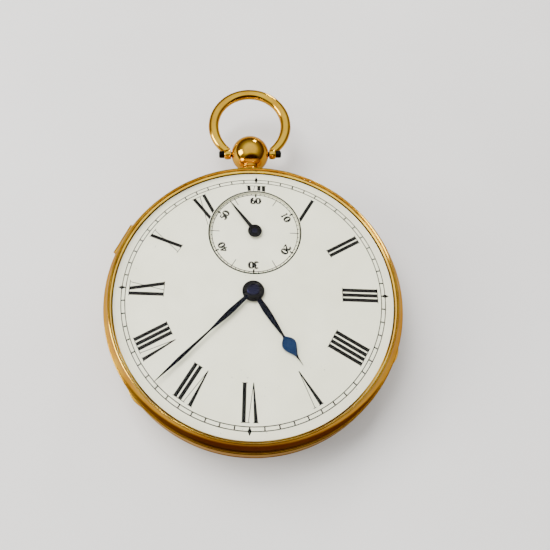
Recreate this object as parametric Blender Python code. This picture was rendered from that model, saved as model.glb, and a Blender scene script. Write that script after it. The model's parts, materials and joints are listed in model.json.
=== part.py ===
"""Open face pocket watch: key-wound, key-set from behind, in a double-bottom case with a bar movement.

Frame: +Z out of the glass, +Y to the pendant, origin on the case axis at the back cover's flat outside.
All numbers are millimetres and the meshes are written in metres.
"""

import math

import bmesh
import bpy
from mathutils import Matrix, Vector
from mathutils.geometry import tessellate_polygon

MM = 0.001
RING_SIDES = 36
ARBOR_SIDES = 8

# Case
CASE_RADIUS = 23.0  # widest point of bezel and middle
CASE_EDGE = 0.1  # how far the rims at the seams stand back from it
BACK_FLAT_RADIUS = 12.0
BACK_WALL = 0.45
BACK_RIM = 0.5  # straight rim of the back cover
BACK_TOP_Z = 4.0  # parting plane of back cover and middle
BEZEL_BASE_Z = 6.6  # parting plane of middle and bezel
SEAM_GAP = 0.03
NECK_WALL = 0.45
NECK_HEIGHT = 0.4  # how far the middle reaches into each cover
BEZEL_WALL = 1.2
BEZEL_INNER_RADIUS = CASE_RADIUS - BEZEL_WALL
BEZEL_HEIGHT = 2.6
DIAL_GAP = 0.4  # dial's edge to the bezel
DIAL_RADIUS = BEZEL_INNER_RADIUS - DIAL_GAP
DIAL_SEAT_Z = 7.2
DIAL_THICKNESS = 0.8
DIAL_TOP_Z = DIAL_SEAT_Z + DIAL_THICKNESS
GLASS_RISE = 1.55  # glass centre above its edge
GLASS_WALL = 0.6
GLASS_EDGE = 0.23
DOME_Z = 0.85  # flat of the inner dome
DOME_WALL = 0.35
KEYHOLE_RADIUS = 1.3
LIP_REACH = 0.4  # how far a nail lip stands out
FIT = 0.04  # radial gap of one piece in another
DIAL_CLOCKING_DEG = -2.5  # movement turned against the pendant

# Pendant and bow
BALL_RADIUS = 3.4
BALL_Y = CASE_RADIUS + BALL_RADIUS + 0.8
BALL_Z = 5.5
NECK_Z = BALL_Z - 0.3
NECK_RADIUS = 1.05
STEM_RADIUS = 1.25
COLLAR_RADIUS = 1.7
BOW_RADIUS = 6.6  # centreline of the wire
BOW_OFFSET = 5.85  # bow circle's centre from the screw's axis
BOW_WIRE = 1.85
BOW_DEPTH = 1.6
BOW_TAPER = 0.62  # share of the wire left at its ends
BOW_TILT_DEG = 8.5
BOW_EYE_RADIUS = 0.98
BOW_EYE_INNER = BALL_RADIUS + 0.08
BOW_EYE_OUTER = BOW_EYE_INNER + 1.2
BOW_SCREW_RADIUS = 0.45
BOW_SCREW_HEAD = 0.66
BOW_SCREW_HALF = BOW_EYE_OUTER + 0.9
SCREW_SLOT = 0.12  # half width of a large screw's slot

# Hinges of the two covers
HINGE_OFFSET = 0.05  # hinge axis outside the case's widest radius
HINGE_RADIUS = CASE_RADIUS + HINGE_OFFSET
HINGE_PIN_RADIUS = 0.16
KNUCKLE_BORE = HINGE_PIN_RADIUS + 0.04
KNUCKLE_RADIUS = 0.42
KNUCKLE_GAP = 0.06  # round a knuckle, in the other piece
KNUCKLE_CENTRE = 2.4
KNUCKLE_SIDE = 1.5
CENTRE_SPAN = ((-KNUCKLE_CENTRE / 2, KNUCKLE_CENTRE / 2),)
SIDE_SPANS = (
    (-KNUCKLE_CENTRE / 2 - FIT - KNUCKLE_SIDE, -KNUCKLE_CENTRE / 2 - FIT),
    (KNUCKLE_CENTRE / 2 + FIT, KNUCKLE_CENTRE / 2 + FIT + KNUCKLE_SIDE),
)
HINGE_HALF = KNUCKLE_CENTRE / 2 + FIT + KNUCKLE_SIDE
BEZEL_HINGE_DEG = 295.0  # clockwise from the pendant
BACK_HINGE_DEG = 50.0
CORNER_TURN = 0.13  # turns a small cylinder's corners off the planes that it meets, in radians

# Movement: x to 3 o'clock and y to 12 o'clock of the dial, on each arbor
PLATE_Z = (5.4, 6.3)
PLATE_RADIUS = DIAL_RADIUS - 0.4
MOVEMENT_HINGE_Y = PLATE_RADIUS - 0.35
MOVEMENT_HINGE_Z = 6.73
LATCH_Y = PLATE_RADIUS - 0.65
LUG_BORE = 0.2
BAR_Z = (2.15, 2.8)
CENTRE = (0.0, 0.0)
BARREL = (-4.0, -8.5)
THIRD = (-3.2, 5.95)
FOURTH = (0.0, 10.46)
ESCAPE_ANGLE_DEG = -25.0
ESCAPE_DISTANCE = 4.62
PALLET_DISTANCE = 3.85
BALANCE = (10.6, 3.6)
MOTION_DISTANCE = 3.6
MOTION_ANGLE_DEG = -20.0

BARREL_TEETH, CENTRE_LEAVES = 60, 10
CENTRE_TEETH, THIRD_LEAVES = 64, 8
THIRD_TEETH, FOURTH_LEAVES = 60, 8
FOURTH_TEETH, ESCAPE_LEAVES = 60, 6
ESCAPE_TEETH = 15
CANNON_LEAVES, MINUTE_TEETH = 10, 30
MINUTE_LEAVES, HOUR_TEETH = 8, 32
RATCHET_TEETH = 24
ESCAPE_TIP = 3.2
DIAL_FEET = ((-14.5, 11.5), (16.8, 9.5), (2.0, -19.0))
BARREL_FEET = ((-14.0, -6.5), (5.9, -10.5))
SCREW_RADIUS = 0.4

WHEEL_Z = {
    "barrel": (3.2, 3.6),
    "centre": (4.75, 4.95),
    "third": (3.4, 3.6),
    "fourth": (4.45, 4.62),
    "escape": (4.18, 4.36),
    "minute": (6.42, 6.58),
    "hour": (6.68, 6.86),
    "ratchet": (1.8, 2.08),
    "balance": (3.15, 3.5),
}
PINION_Z = {
    "centre": (3.05, 3.8),
    "third": (4.68, 5.02),
    "fourth": (3.25, 3.75),
    "escape": (4.3, 4.75),
    "cannon": (6.42, 6.62),
    "minute": (6.5, 6.84),
}
LOW_PIVOT_Z = (BAR_Z[0] + 0.15, BAR_Z[1] + 0.06)
HIGH_PIVOT_Z = (PLATE_Z[0] - 0.1, PLATE_Z[0] + 0.5)
PIVOT_RADIUS = 0.12
PIVOT_HOLE = PIVOT_RADIUS + 0.05
ARBOR_RADIUS = 0.19
SETTING_RADIUS = 0.3
CENTRE_PIPE = 0.62
DRUM_RADIUS = 7.55
KEY_SQUARE = 0.56  # half width of the winding square
KEY_END_Z = 1.3

# Hands, as angles clockwise from 12 and lengths
HAND_THICKNESS = 0.14
HOUR_HAND_DEG, HOUR_HAND_LENGTH, HOUR_HAND_Z = 146.1, 13.3, DIAL_TOP_Z + 0.36
MINUTE_HAND_DEG, MINUTE_HAND_LENGTH, MINUTE_HAND_Z = 223.9, 19.8, HOUR_HAND_Z + 0.3
SECONDS_HAND_DEG, SECONDS_HAND_LENGTH, SECONDS_HAND_Z = 321.7, 6.75, DIAL_TOP_Z + 0.14
HOUR_HUB, MINUTE_HUB, SECONDS_HUB = 1.75, 1.3, 1.15
HOUR_PIPE, MINUTE_PIPE = 0.85, 0.58
SETTING_TOP_Z = MINUTE_HAND_Z + 0.58
SUBDIAL_OPENING = 7.3
SUBDIAL_DEPTH = 0.38

CLOCKING = math.radians(DIAL_CLOCKING_DEG)
SHARP_ANGLE = math.radians(35)

MATERIALS = {
    "gold": ((0.83, 0.58, 0.26), 1.0, 0.18),
    "red_gold": ((0.72, 0.42, 0.22), 1.0, 0.22),
    "gilt_brass": ((0.78, 0.6, 0.3), 1.0, 0.3),
    "steel": ((0.62, 0.62, 0.64), 1.0, 0.25),
    "blued_steel": ((0.03, 0.05, 0.16), 1.0, 0.25),
    "black_steel": ((0.05, 0.05, 0.06), 1.0, 0.4),
    "enamel": ((0.86, 0.83, 0.76), 0.0, 0.2),
    "glass": ((0.95, 0.97, 0.97), 0.0, 0.05),
    "ruby": ((0.5, 0.05, 0.12), 0.0, 0.1),
}


def start():
    for old in list(bpy.data.objects):
        bpy.data.objects.remove(old)
    for name, (colour, metal, rough) in MATERIALS.items():
        made = bpy.data.materials.new(name)
        made.use_nodes = True
        shader = made.node_tree.nodes["Principled BSDF"]
        shader.inputs["Base Color"].default_value = (*colour, 1.0)
        shader.inputs["Metallic"].default_value = metal
        shader.inputs["Roughness"].default_value = rough


def body(points, faces):
    """A temporary closed object from points and faces in millimetres."""
    mesh = bpy.data.meshes.new("work")
    mesh.from_pydata([Vector(p) * MM for p in points], [], faces)
    bm = bmesh.new()
    bm.from_mesh(mesh)
    bmesh.ops.recalc_face_normals(bm, faces=bm.faces)
    bm.to_mesh(mesh)
    bm.free()
    made = bpy.data.objects.new("work", mesh)
    bpy.context.scene.collection.objects.link(made)
    return made


def turned(profile, sides=RING_SIDES, closed=None):
    """A profile of (radius, z) turned about Z. It is a loop unless its ends lie on the axis."""
    closed = profile[0][0] > 0 if closed is None else closed
    rows, points = [], []
    for r, z in profile:
        count = sides if r > 0 else 1
        rows.append(list(range(len(points), len(points) + count)))
        for i in range(count):
            a = 2 * math.pi * i / sides
            points.append((r * math.cos(a), r * math.sin(a), z))
    faces = []
    pairs = list(zip(rows, rows[1:] + rows[:1]))
    for low, high in pairs if closed else pairs[:-1]:
        for i in range(sides):
            j = (i + 1) % sides
            ring = [low[i % len(low)], low[j % len(low)], high[j % len(high)], high[i % len(high)]]
            face = [v for k, v in enumerate(ring) if v not in ring[:k]]
            faces.append(face)
    return body(points, faces)


def slab(outlines, z0, z1):
    """Flat outlines, the first one outside and the rest holes, given a thickness."""
    flat = [Vector((x, y, 0)) for line in outlines for x, y in line]
    count = len(flat)
    points = [(p.x, p.y, z0) for p in flat] + [(p.x, p.y, z1) for p in flat]
    faces = []
    for tri in tessellate_polygon([[Vector((x, y, 0)) for x, y in line] for line in outlines]):
        faces.append(tuple(tri))
        faces.append(tuple(count + i for i in reversed(tri)))
    first = 0
    for line in outlines:
        size = len(line)
        for i in range(size):
            a, b = first + i, first + (i + 1) % size
            faces.append((a, b, count + b, count + a))
        first += size
    return body(points, faces)


def box(x0, x1, y0, y1, z0, z1):
    return slab([[(x0, y0), (x1, y0), (x1, y1), (x0, y1)]], z0, z1)


def circle(x, y, radius, sides=12, phase=0.0):
    step = 2 * math.pi / sides
    angles = [phase + i * step for i in range(sides)]
    return [(x + radius * math.cos(a), y + radius * math.sin(a)) for a in angles]


def hull(points):
    """The convex outline round flat points, counter-clockwise."""
    points = sorted(set((round(x, 6), round(y, 6)) for x, y in points))

    def half(items):
        kept = []
        for p in items:
            while len(kept) > 1:
                (ax, ay), (bx, by) = kept[-2], kept[-1]
                if (bx - ax) * (p[1] - ay) - (by - ay) * (p[0] - ax) > 1e-7:
                    break
                kept.pop()
            kept.append(p)
        return kept[:-1]

    return half(points) + half(points[::-1])


def moved(made, matrix):
    """Bakes a move given in millimetres into the mesh."""
    scaled = matrix.copy()
    scaled.translation = matrix.translation * MM
    made.data.transform(scaled)
    return made


def combined(first, others, operation="UNION"):
    """Boolean of one body with each of the others, which are then removed."""
    for other in others:
        cut = first.modifiers.new("shape", "BOOLEAN")
        cut.operation = operation
        cut.solver = "EXACT"
        cut.object = other
    bpy.context.view_layer.update()
    graph = bpy.context.evaluated_depsgraph_get()
    mesh = bpy.data.meshes.new_from_object(first.evaluated_get(graph))
    first.modifiers.clear()
    first.data = mesh
    for other in others:
        bpy.data.objects.remove(other)
    return first


def cut(first, *others):
    return combined(first, others, "DIFFERENCE")


def joined(first, *others):
    return combined(first, others, "UNION")


def node(name, made, material, at=CENTRE, z=0.0, movement=True):
    """Names a finished piece built round its own axis, and puts it in place."""
    turn = CLOCKING if movement else 0.0
    x = at[0] * math.cos(turn) - at[1] * math.sin(turn)
    y = at[0] * math.sin(turn) + at[1] * math.cos(turn)
    made.name = name
    made.data.name = name
    made.data.materials.clear()
    made.data.materials.append(bpy.data.materials[material])
    made.data.shade_smooth()
    made.data.set_sharp_from_angle(angle=SHARP_ANGLE)
    made.location = (x * MM, y * MM, z * MM)
    made.rotation_euler = (0, 0, turn)
    return made


def module_of(wheel_teeth, leaves, distance):
    return 2 * distance / (wheel_teeth + leaves)


def wheel_outline(teeth, module, phase):
    """Pointed wheel teeth that meet at their roots."""
    pitch = 2 * math.pi / teeth
    root = module * (teeth / 2 - 1.3)
    tip = module * (teeth / 2 + 1.15)
    line = []
    for i in range(teeth):
        a = phase + i * pitch
        for radius, angle in ((root, a - pitch / 2), (tip, a)):
            line.append((radius * math.cos(angle), radius * math.sin(angle)))
    return line


def pinion_outline(leaves, module, phase):
    pitch = 2 * math.pi / leaves
    root = module * (leaves / 2 - 1.5)
    tip = module * (leaves / 2 + 0.6)
    line = []
    for i in range(leaves):
        a = phase + i * pitch
        for radius, part in ((root, -0.2), (tip, -0.1), (tip, 0.1), (root, 0.2)):
            line.append((radius * math.cos(a + part * pitch), radius * math.sin(a + part * pitch)))
    return line


def windows(hub, rim, spokes, width, phase=0.3):
    """The openings between the spokes of a wheel."""
    found = []
    for i in range(spokes):
        start_angle = phase + 2 * math.pi * i / spokes
        end_angle = start_angle + 2 * math.pi / spokes
        inner, outer = math.asin(width / 2 / hub), math.asin(width / 2 / rim)
        line = []
        for k in range(5):
            a = start_angle + outer + (end_angle - start_angle - 2 * outer) * k / 4
            line.append((rim * math.cos(a), rim * math.sin(a)))
        for k in range(2):
            a = end_angle - inner - (end_angle - start_angle - 2 * inner) * k
            line.append((hub * math.cos(a), hub * math.sin(a)))
        found.append(line)
    return found


def toward(start_point, end_point):
    return math.atan2(end_point[1] - start_point[1], end_point[0] - start_point[0])


def at_angle(origin, angle, distance):
    return (origin[0] + distance * math.cos(angle), origin[1] + distance * math.sin(angle))


ESCAPE = at_angle(FOURTH, math.radians(ESCAPE_ANGLE_DEG), ESCAPE_DISTANCE)
PALLET = at_angle(ESCAPE, toward(ESCAPE, BALANCE), PALLET_DISTANCE)
MINUTE = at_angle(CENTRE, math.radians(MOTION_ANGLE_DEG), MOTION_DISTANCE)
BAR_LINE = toward(BARREL_FEET[0], BARREL_FEET[1])
CLICK = at_angle(BARREL, BAR_LINE, 4.3)
BAR_FEET = {
    "centre_bar": (CENTRE, (-11.5, 1.5), 1.9, 1.7),
    "third_bar": (THIRD, (-11.6, 7.5), 1.2, 1.6),
    "fourth_bar": (FOURTH, (-6.6, 13.9), 1.2, 1.6),
    "escape_cock": (ESCAPE, (6.0, 15.3), 1.0, 1.6),
    "pallet_cock": (PALLET, (11.8, 10.9), 0.7, 1.0),
    "balance_cock": (BALANCE, (13.27, -4.05), 1.9, 1.8),
}


def rim_matrix(clockwise_deg, z):
    """Local x outward, local y along the rim and local z up, on the case axis."""
    return Matrix.Translation((0, 0, z)) @ Matrix.Rotation(math.radians(90 - clockwise_deg), 4, "Z")


def lengthwise(made):
    """Turns a piece built along z to lie along y, its corners off the planes that it meets."""
    return moved(made, Matrix.Rotation(math.radians(-90), 4, "X") @ Matrix.Rotation(CORNER_TURN, 4, "Z"))


def rod(radius, y0, y1, sides=12):
    """A cylinder along local y."""
    return lengthwise(turned([(0, y0), (radius, y0), (radius, y1), (0, y1)], sides))


def on_rim(pieces, clockwise_deg, z):
    for piece in pieces:
        moved(piece, rim_matrix(clockwise_deg, z))
    return pieces


def knuckles(spans):
    """Bored hinge knuckles on the axis of a hinge."""
    made = []
    for y0, y1 in spans:
        tube = [(KNUCKLE_BORE, y0), (KNUCKLE_RADIUS, y0), (KNUCKLE_RADIUS, y1), (KNUCKLE_BORE, y1)]
        made.append(moved(lengthwise(turned(tube, 12)), Matrix.Translation((HINGE_RADIUS, 0, 0))))
    return made


def hinge_cutter(own_spans):
    """Room for the other side's knuckles, and for the pin between this side's own ones."""
    narrow = (KNUCKLE_BORE + KNUCKLE_RADIUS) / 2
    wide = KNUCKLE_RADIUS + KNUCKLE_GAP
    centre_is_own = own_spans is CENTRE_SPAN
    inner, outer = (narrow, wide) if centre_is_own else (wide, narrow)
    half = KNUCKLE_CENTRE / 2 + (0 if centre_is_own else FIT)
    end = HINGE_HALF + (FIT if centre_is_own else 0)
    profile = [(0, -end), (outer, -end), (outer, -half), (inner, -half)]
    profile += [(r, -y) for r, y in reversed(profile)]
    return moved(lengthwise(turned(profile, 14)), Matrix.Translation((HINGE_RADIUS, 0, 0)))


def with_hinge(made, spans, clockwise_deg, z):
    """Cuts a hinge's room into a rim and joins that rim's knuckles to it."""
    cut(made, *on_rim([hinge_cutter(spans)], clockwise_deg, z))
    return joined(made, *on_rim(knuckles(spans), clockwise_deg, z))


def case():
    neck_in = BEZEL_INNER_RADIUS - 0.05
    neck_out = neck_in + NECK_WALL
    low_neck = neck_out - 0.1
    rim = CASE_RADIUS - CASE_EDGE
    seat = PLATE_RADIUS / math.cos(math.pi / RING_SIDES) + FIT
    shelf_z = PLATE_Z[0] - 0.04
    middle = turned([
        (low_neck, BACK_TOP_Z - NECK_HEIGHT), (low_neck, BACK_TOP_Z + SEAM_GAP), (rim, BACK_TOP_Z + SEAM_GAP),
        (CASE_RADIUS, (BACK_TOP_Z + BEZEL_BASE_Z) / 2), (rim, BEZEL_BASE_Z - SEAM_GAP),
        (neck_out, BEZEL_BASE_Z - SEAM_GAP), (neck_out, BEZEL_BASE_Z + NECK_HEIGHT),
        (neck_in, BEZEL_BASE_Z + NECK_HEIGHT), (neck_in, BEZEL_BASE_Z - 0.15), (seat, BEZEL_BASE_Z - 0.15),
        (seat, shelf_z), (seat - 0.45, shelf_z), (seat - 0.45, BACK_TOP_Z - NECK_HEIGHT),
    ])
    with_hinge(middle, SIDE_SPANS, BEZEL_HINGE_DEG, BEZEL_BASE_Z)
    with_hinge(middle, SIDE_SPANS, BACK_HINGE_DEG, BACK_TOP_Z)
    turn = Matrix.Rotation(CLOCKING, 4, "Z")
    lug_y = (MOVEMENT_HINGE_Y - 0.25, neck_in + 0.2)
    lugs = [box(x, x + 0.95, *lug_y, BEZEL_BASE_Z - 0.1, BEZEL_BASE_Z + 0.36) for x in (-1.5, 0.55)]
    joined(middle, *[moved(lug, turn) for lug in lugs])
    pocket = box(-1.4, 1.4, -LATCH_Y - 1.35, -LATCH_Y - 0.55, PLATE_Z[0] + 0.18, PLATE_Z[0] + 0.74)
    neck_hole = rod(NECK_RADIUS, CASE_RADIUS - 0.7, BALL_Y - 1, 16)
    moved(neck_hole, Matrix.Translation((0, 0, NECK_Z)))
    cut(middle, moved(pocket, turn), moved(lug_bore(), turn), neck_hole)
    node("case_middle", middle, "gold", movement=False)


def lug_bore():
    hole = moved(rod(LUG_BORE, -2.0, 2.0, 10), Matrix.Rotation(math.radians(-90), 4, "Z"))
    return moved(hole, Matrix.Translation((0, MOVEMENT_HINGE_Y, MOVEMENT_HINGE_Z)))


def pendant():
    pin = NECK_RADIUS - FIT
    steps = [
        (0, -0.66), (pin, -0.66), (pin, 0.12), (COLLAR_RADIUS, 0.2), (COLLAR_RADIUS, 0.45),
        (STEM_RADIUS, 0.6), (STEM_RADIUS, 1.6), (0, 1.6),
    ]
    neck = moved(turned(steps, 16), Matrix.Rotation(math.radians(-90), 4, "X"))
    moved(neck, Matrix.Translation((0, CASE_RADIUS, NECK_Z)))
    rows = 10
    arc = [(0, -BALL_RADIUS)]
    for i in range(1, rows):
        a = math.pi * i / rows
        arc.append((BALL_RADIUS * math.sin(a), -BALL_RADIUS * math.cos(a)))
    arc.append((0, BALL_RADIUS))
    ball = moved(turned(arc, 18), Matrix.Translation((0, BALL_Y, BALL_Z)))
    joined(ball, neck)
    reach = BALL_RADIUS + 2
    hole = rod(BOW_SCREW_RADIUS + FIT, -reach, reach)
    moved(hole, Matrix.Rotation(math.radians(-90), 4, "Z"))
    cut(ball, moved(hole, Matrix.Translation((0, BALL_Y, BALL_Z))))
    node("pendant", ball, "gold", movement=False)


def bow():
    """The bow lies round its pivot with its loop toward +y, then tilts. Its ends run into two bored eyes."""
    steps, ring = 28, 10
    start_angle = math.asin((BOW_EYE_INNER + BOW_EYE_OUTER) / 2 / BOW_RADIUS)
    points, faces = [], []
    for i in range(steps + 1):
        a = start_angle + (2 * math.pi - 2 * start_angle) * i / steps
        out = Vector((math.sin(a), -math.cos(a), 0))
        middle = Vector((0, BOW_OFFSET, 0)) + out * BOW_RADIUS
        grow = BOW_TAPER + (1 - BOW_TAPER) * min(1, 6 * min(i, steps - i) / steps)
        for k in range(ring):
            b = 2 * math.pi * k / ring
            across = out * grow * BOW_WIRE / 2 * math.cos(b)
            points.append(middle + across + Vector((0, 0, grow * BOW_DEPTH / 2 * math.sin(b))))
    for i in range(steps):
        for k in range(ring):
            j = (k + 1) % ring
            faces.append((i * ring + k, i * ring + j, (i + 1) * ring + j, (i + 1) * ring + k))
    faces.append(tuple(range(ring)))
    faces.append(tuple(steps * ring + k for k in range(ring)))
    wire = body(points, faces)
    across = Matrix.Rotation(math.radians(90), 4, "Y") @ Matrix.Rotation(CORNER_TURN, 4, "Z")
    sink, end, room = BOW_EYE_OUTER - 0.05, BOW_SCREW_HALF + 2, BOW_SCREW_HEAD + 0.1
    half = [(0, -end), (room, -end), (room, -sink), (room - 0.08, -sink)]
    cut(wire, moved(turned(half + [(r, -z) for r, z in reversed(half)], 14), across))
    bore = BOW_SCREW_RADIUS + FIT
    eyes = []
    for low, high in ((BOW_EYE_INNER, BOW_EYE_OUTER), (-BOW_EYE_OUTER, -BOW_EYE_INNER)):
        eye = turned([(bore, low), (BOW_EYE_RADIUS, low), (BOW_EYE_RADIUS, high), (bore, high)], 14)
        eyes.append(moved(eye, across))
    joined(wire, *eyes)
    moved(wire, Matrix.Rotation(math.radians(BOW_TILT_DEG), 4, "X"))
    node("bow", wire, "gold", at=(0, BALL_Y), z=BALL_Z, movement=False)

    shoulder = BOW_EYE_OUTER + FIT
    screw = turned([
        (0, -BOW_SCREW_HALF), (BOW_SCREW_HEAD, -BOW_SCREW_HALF), (BOW_SCREW_HEAD, -shoulder),
        (BOW_SCREW_RADIUS, -shoulder), (BOW_SCREW_RADIUS, shoulder), (BOW_SCREW_HEAD, shoulder),
        (BOW_SCREW_HEAD, BOW_SCREW_HALF), (0, BOW_SCREW_HALF),
    ], 12)
    moved(screw, Matrix.Rotation(math.radians(90), 4, "Y"))
    cut(screw, box(BOW_SCREW_HALF - 0.16, BOW_SCREW_HALF + 1, -SCREW_SLOT, SCREW_SLOT, -1, 1))
    node("bow_screw", screw, "black_steel", at=(0, BALL_Y), z=BALL_Z, movement=False)


def hinge_pin(name, clockwise_deg, z):
    pin = rod(HINGE_PIN_RADIUS, -HINGE_HALF, HINGE_HALF, 10)
    out = math.radians(90 - clockwise_deg)
    moved(pin, Matrix.Rotation(out, 4, "Z"))
    at = (HINGE_RADIUS * math.cos(out), HINGE_RADIUS * math.sin(out))
    node(name, pin, "red_gold", at=at, z=z, movement=False)


def around(made, clockwise_deg, z):
    """Moves a mesh built on the case axis so that its own origin is on a hinge axis."""
    out = math.radians(90 - clockwise_deg)
    at = (HINGE_RADIUS * math.cos(out), HINGE_RADIUS * math.sin(out))
    moved(made, Matrix.Translation((-at[0], -at[1], -z)))
    return at


def nail_lip(half_width, tip_half, z0, z1):
    """A lip for the nail, tapering outward from a rim."""
    root, tip = CASE_RADIUS - 0.35, CASE_RADIUS + LIP_REACH
    return slab([hull([(root, -half_width), (root, half_width), (tip, -tip_half), (tip, tip_half)])], z0, z1)


def bezel_and_glass():
    base, top = BEZEL_BASE_Z, BEZEL_BASE_Z + BEZEL_HEIGHT
    inner, neck_out = BEZEL_INNER_RADIUS, BEZEL_INNER_RADIUS + NECK_WALL
    groove = inner + 0.2
    glass_high = top - 0.22
    glass_low = glass_high - GLASS_EDGE
    bezel = turned([
        (neck_out, base + SEAM_GAP), (CASE_RADIUS - CASE_EDGE, base + SEAM_GAP),
        (CASE_RADIUS, base + 0.2), (CASE_RADIUS, base + 0.5), (CASE_RADIUS - 0.15, base + 0.8),
        (CASE_RADIUS - 0.25, base + 1.15), (CASE_RADIUS - 0.5, base + 1.4),
        (CASE_RADIUS - 0.5, base + 1.75), (CASE_RADIUS - 0.7, base + 2.2),
        (inner + 0.3, top - 0.08), (inner + 0.1, top), (inner - 0.02, top - 0.1),
        (groove, glass_high + FIT), (groove, glass_low - FIT), (inner, glass_low - FIT),
        (inner, base + NECK_HEIGHT + 0.05), (neck_out, base + NECK_HEIGHT + 0.05),
    ])
    joined(bezel, *on_rim([nail_lip(1.9, 1.0, 0.12, 0.42)], BEZEL_HINGE_DEG - 180, base))
    with_hinge(bezel, CENTRE_SPAN, BEZEL_HINGE_DEG, base)
    at = around(bezel, BEZEL_HINGE_DEG, base)
    node("bezel", bezel, "gold", at=at, z=base, movement=False)

    edge, seat = groove - FIT, groove - 0.6
    outer, under = [], []
    for out in (0.0, 0.41, 0.73, 0.91, 0.975):
        rise = (1 - out * out) ** 0.6
        outer.append((edge * out, glass_high + GLASS_RISE * rise))
        thickness = GLASS_WALL * (0.75 + 0.25 * rise)
        under.append(((edge - 0.9) * out, glass_high + GLASS_RISE * rise - thickness))
    profile = outer + [(edge, glass_high), (edge, glass_low), (seat, glass_low)] + under[::-1]
    glass = turned(profile, RING_SIDES, closed=False)
    around(glass, BEZEL_HINGE_DEG, base)
    node("crystal", glass, "glass", at=at, z=base, movement=False)
    hinge_pin("bezel_hinge_pin", BEZEL_HINGE_DEG, base)


def dished(radius, flat, low, high):
    """The outer half of a dish's profile, from its flat's edge to its rim."""
    shares = ((0.0, 0.0), (0.477, 0.143), (0.789, 0.43), (0.954, 0.786), (1.0, 1.0))
    return [(flat + (radius - flat) * out, low + (high - low) * up) for out, up in shares]


def back():
    top, rim = BACK_TOP_Z, CASE_RADIUS - CASE_EDGE
    wall = BEZEL_INNER_RADIUS - 0.05 + NECK_WALL - 0.05
    outside = [(0, 0)] + dished(rim, BACK_FLAT_RADIUS, 0, top - BACK_RIM)
    inside = dished(wall, BACK_FLAT_RADIUS, BACK_WALL, top - BACK_RIM - 0.1) + [(wall, top - SEAM_GAP)]
    profile = outside + [(rim, top - SEAM_GAP)] + inside[::-1] + [(0, BACK_WALL)]
    cover = turned(profile, RING_SIDES, closed=False)
    joined(cover, *on_rim([nail_lip(2.3, 1.2, 0.1 - BACK_RIM, -0.1)], BACK_HINGE_DEG + 180, top))
    with_hinge(cover, CENTRE_SPAN, BACK_HINGE_DEG, top)
    at = around(cover, BACK_HINGE_DEG, top)
    node("back_cover", cover, "gold", at=at, z=top, movement=False)
    hinge_pin("back_hinge_pin", BACK_HINGE_DEG, top)


def inner_dome():
    """The fixed cap over the movement, with the setting hole at its centre and the winding hole."""
    rim, top = PLATE_RADIUS - 0.4 - FIT, PLATE_Z[0] - 0.8
    outside = [(0, DOME_Z)] + dished(rim, BACK_FLAT_RADIUS, DOME_Z, DOME_Z + 2.55) + [(rim, top)]
    in_rim, in_z = rim - DOME_WALL, DOME_Z + DOME_WALL
    inside = dished(in_rim, BACK_FLAT_RADIUS - 0.2, in_z, in_z + 2.3) + [(in_rim, top)]
    dome = turned(outside + inside[::-1] + [(0, in_z)], RING_SIDES, closed=False)
    turn = Matrix.Rotation(CLOCKING, 4, "Z")
    holes = [slab([circle(x, y, KEYHOLE_RADIUS, 16)], DOME_Z - 0.4, in_z + 0.4) for x, y in (CENTRE, BARREL)]
    cut(dome, *[moved(hole, turn) for hole in holes])
    node("inner_dome", dome, "gold", movement=False)


def hand_outline(stations):
    """A hand along +y from (distance, half width) stations."""
    left = [(-half, y) for y, half in stations]
    right = [(half, y) for y, half in reversed(stations)]
    return left + right


def hand(name, angle_deg, z, at, stations, hub_radius, bore, hub_z):
    """A flat blade joined to a round hub with a bore."""
    blade = slab([hand_outline(stations)], z, z + HAND_THICKNESS)
    hub = slab([circle(0, 0, hub_radius, 20)], *hub_z)
    made = joined(blade, hub)
    cut(made, slab([circle(0, 0, bore, 14, 0.1)], hub_z[0] - 1, hub_z[1] + 1))
    moved(made, Matrix.Rotation(-math.radians(angle_deg), 4, "Z"))
    node(name, made, "blued_steel", at=at)


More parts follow.
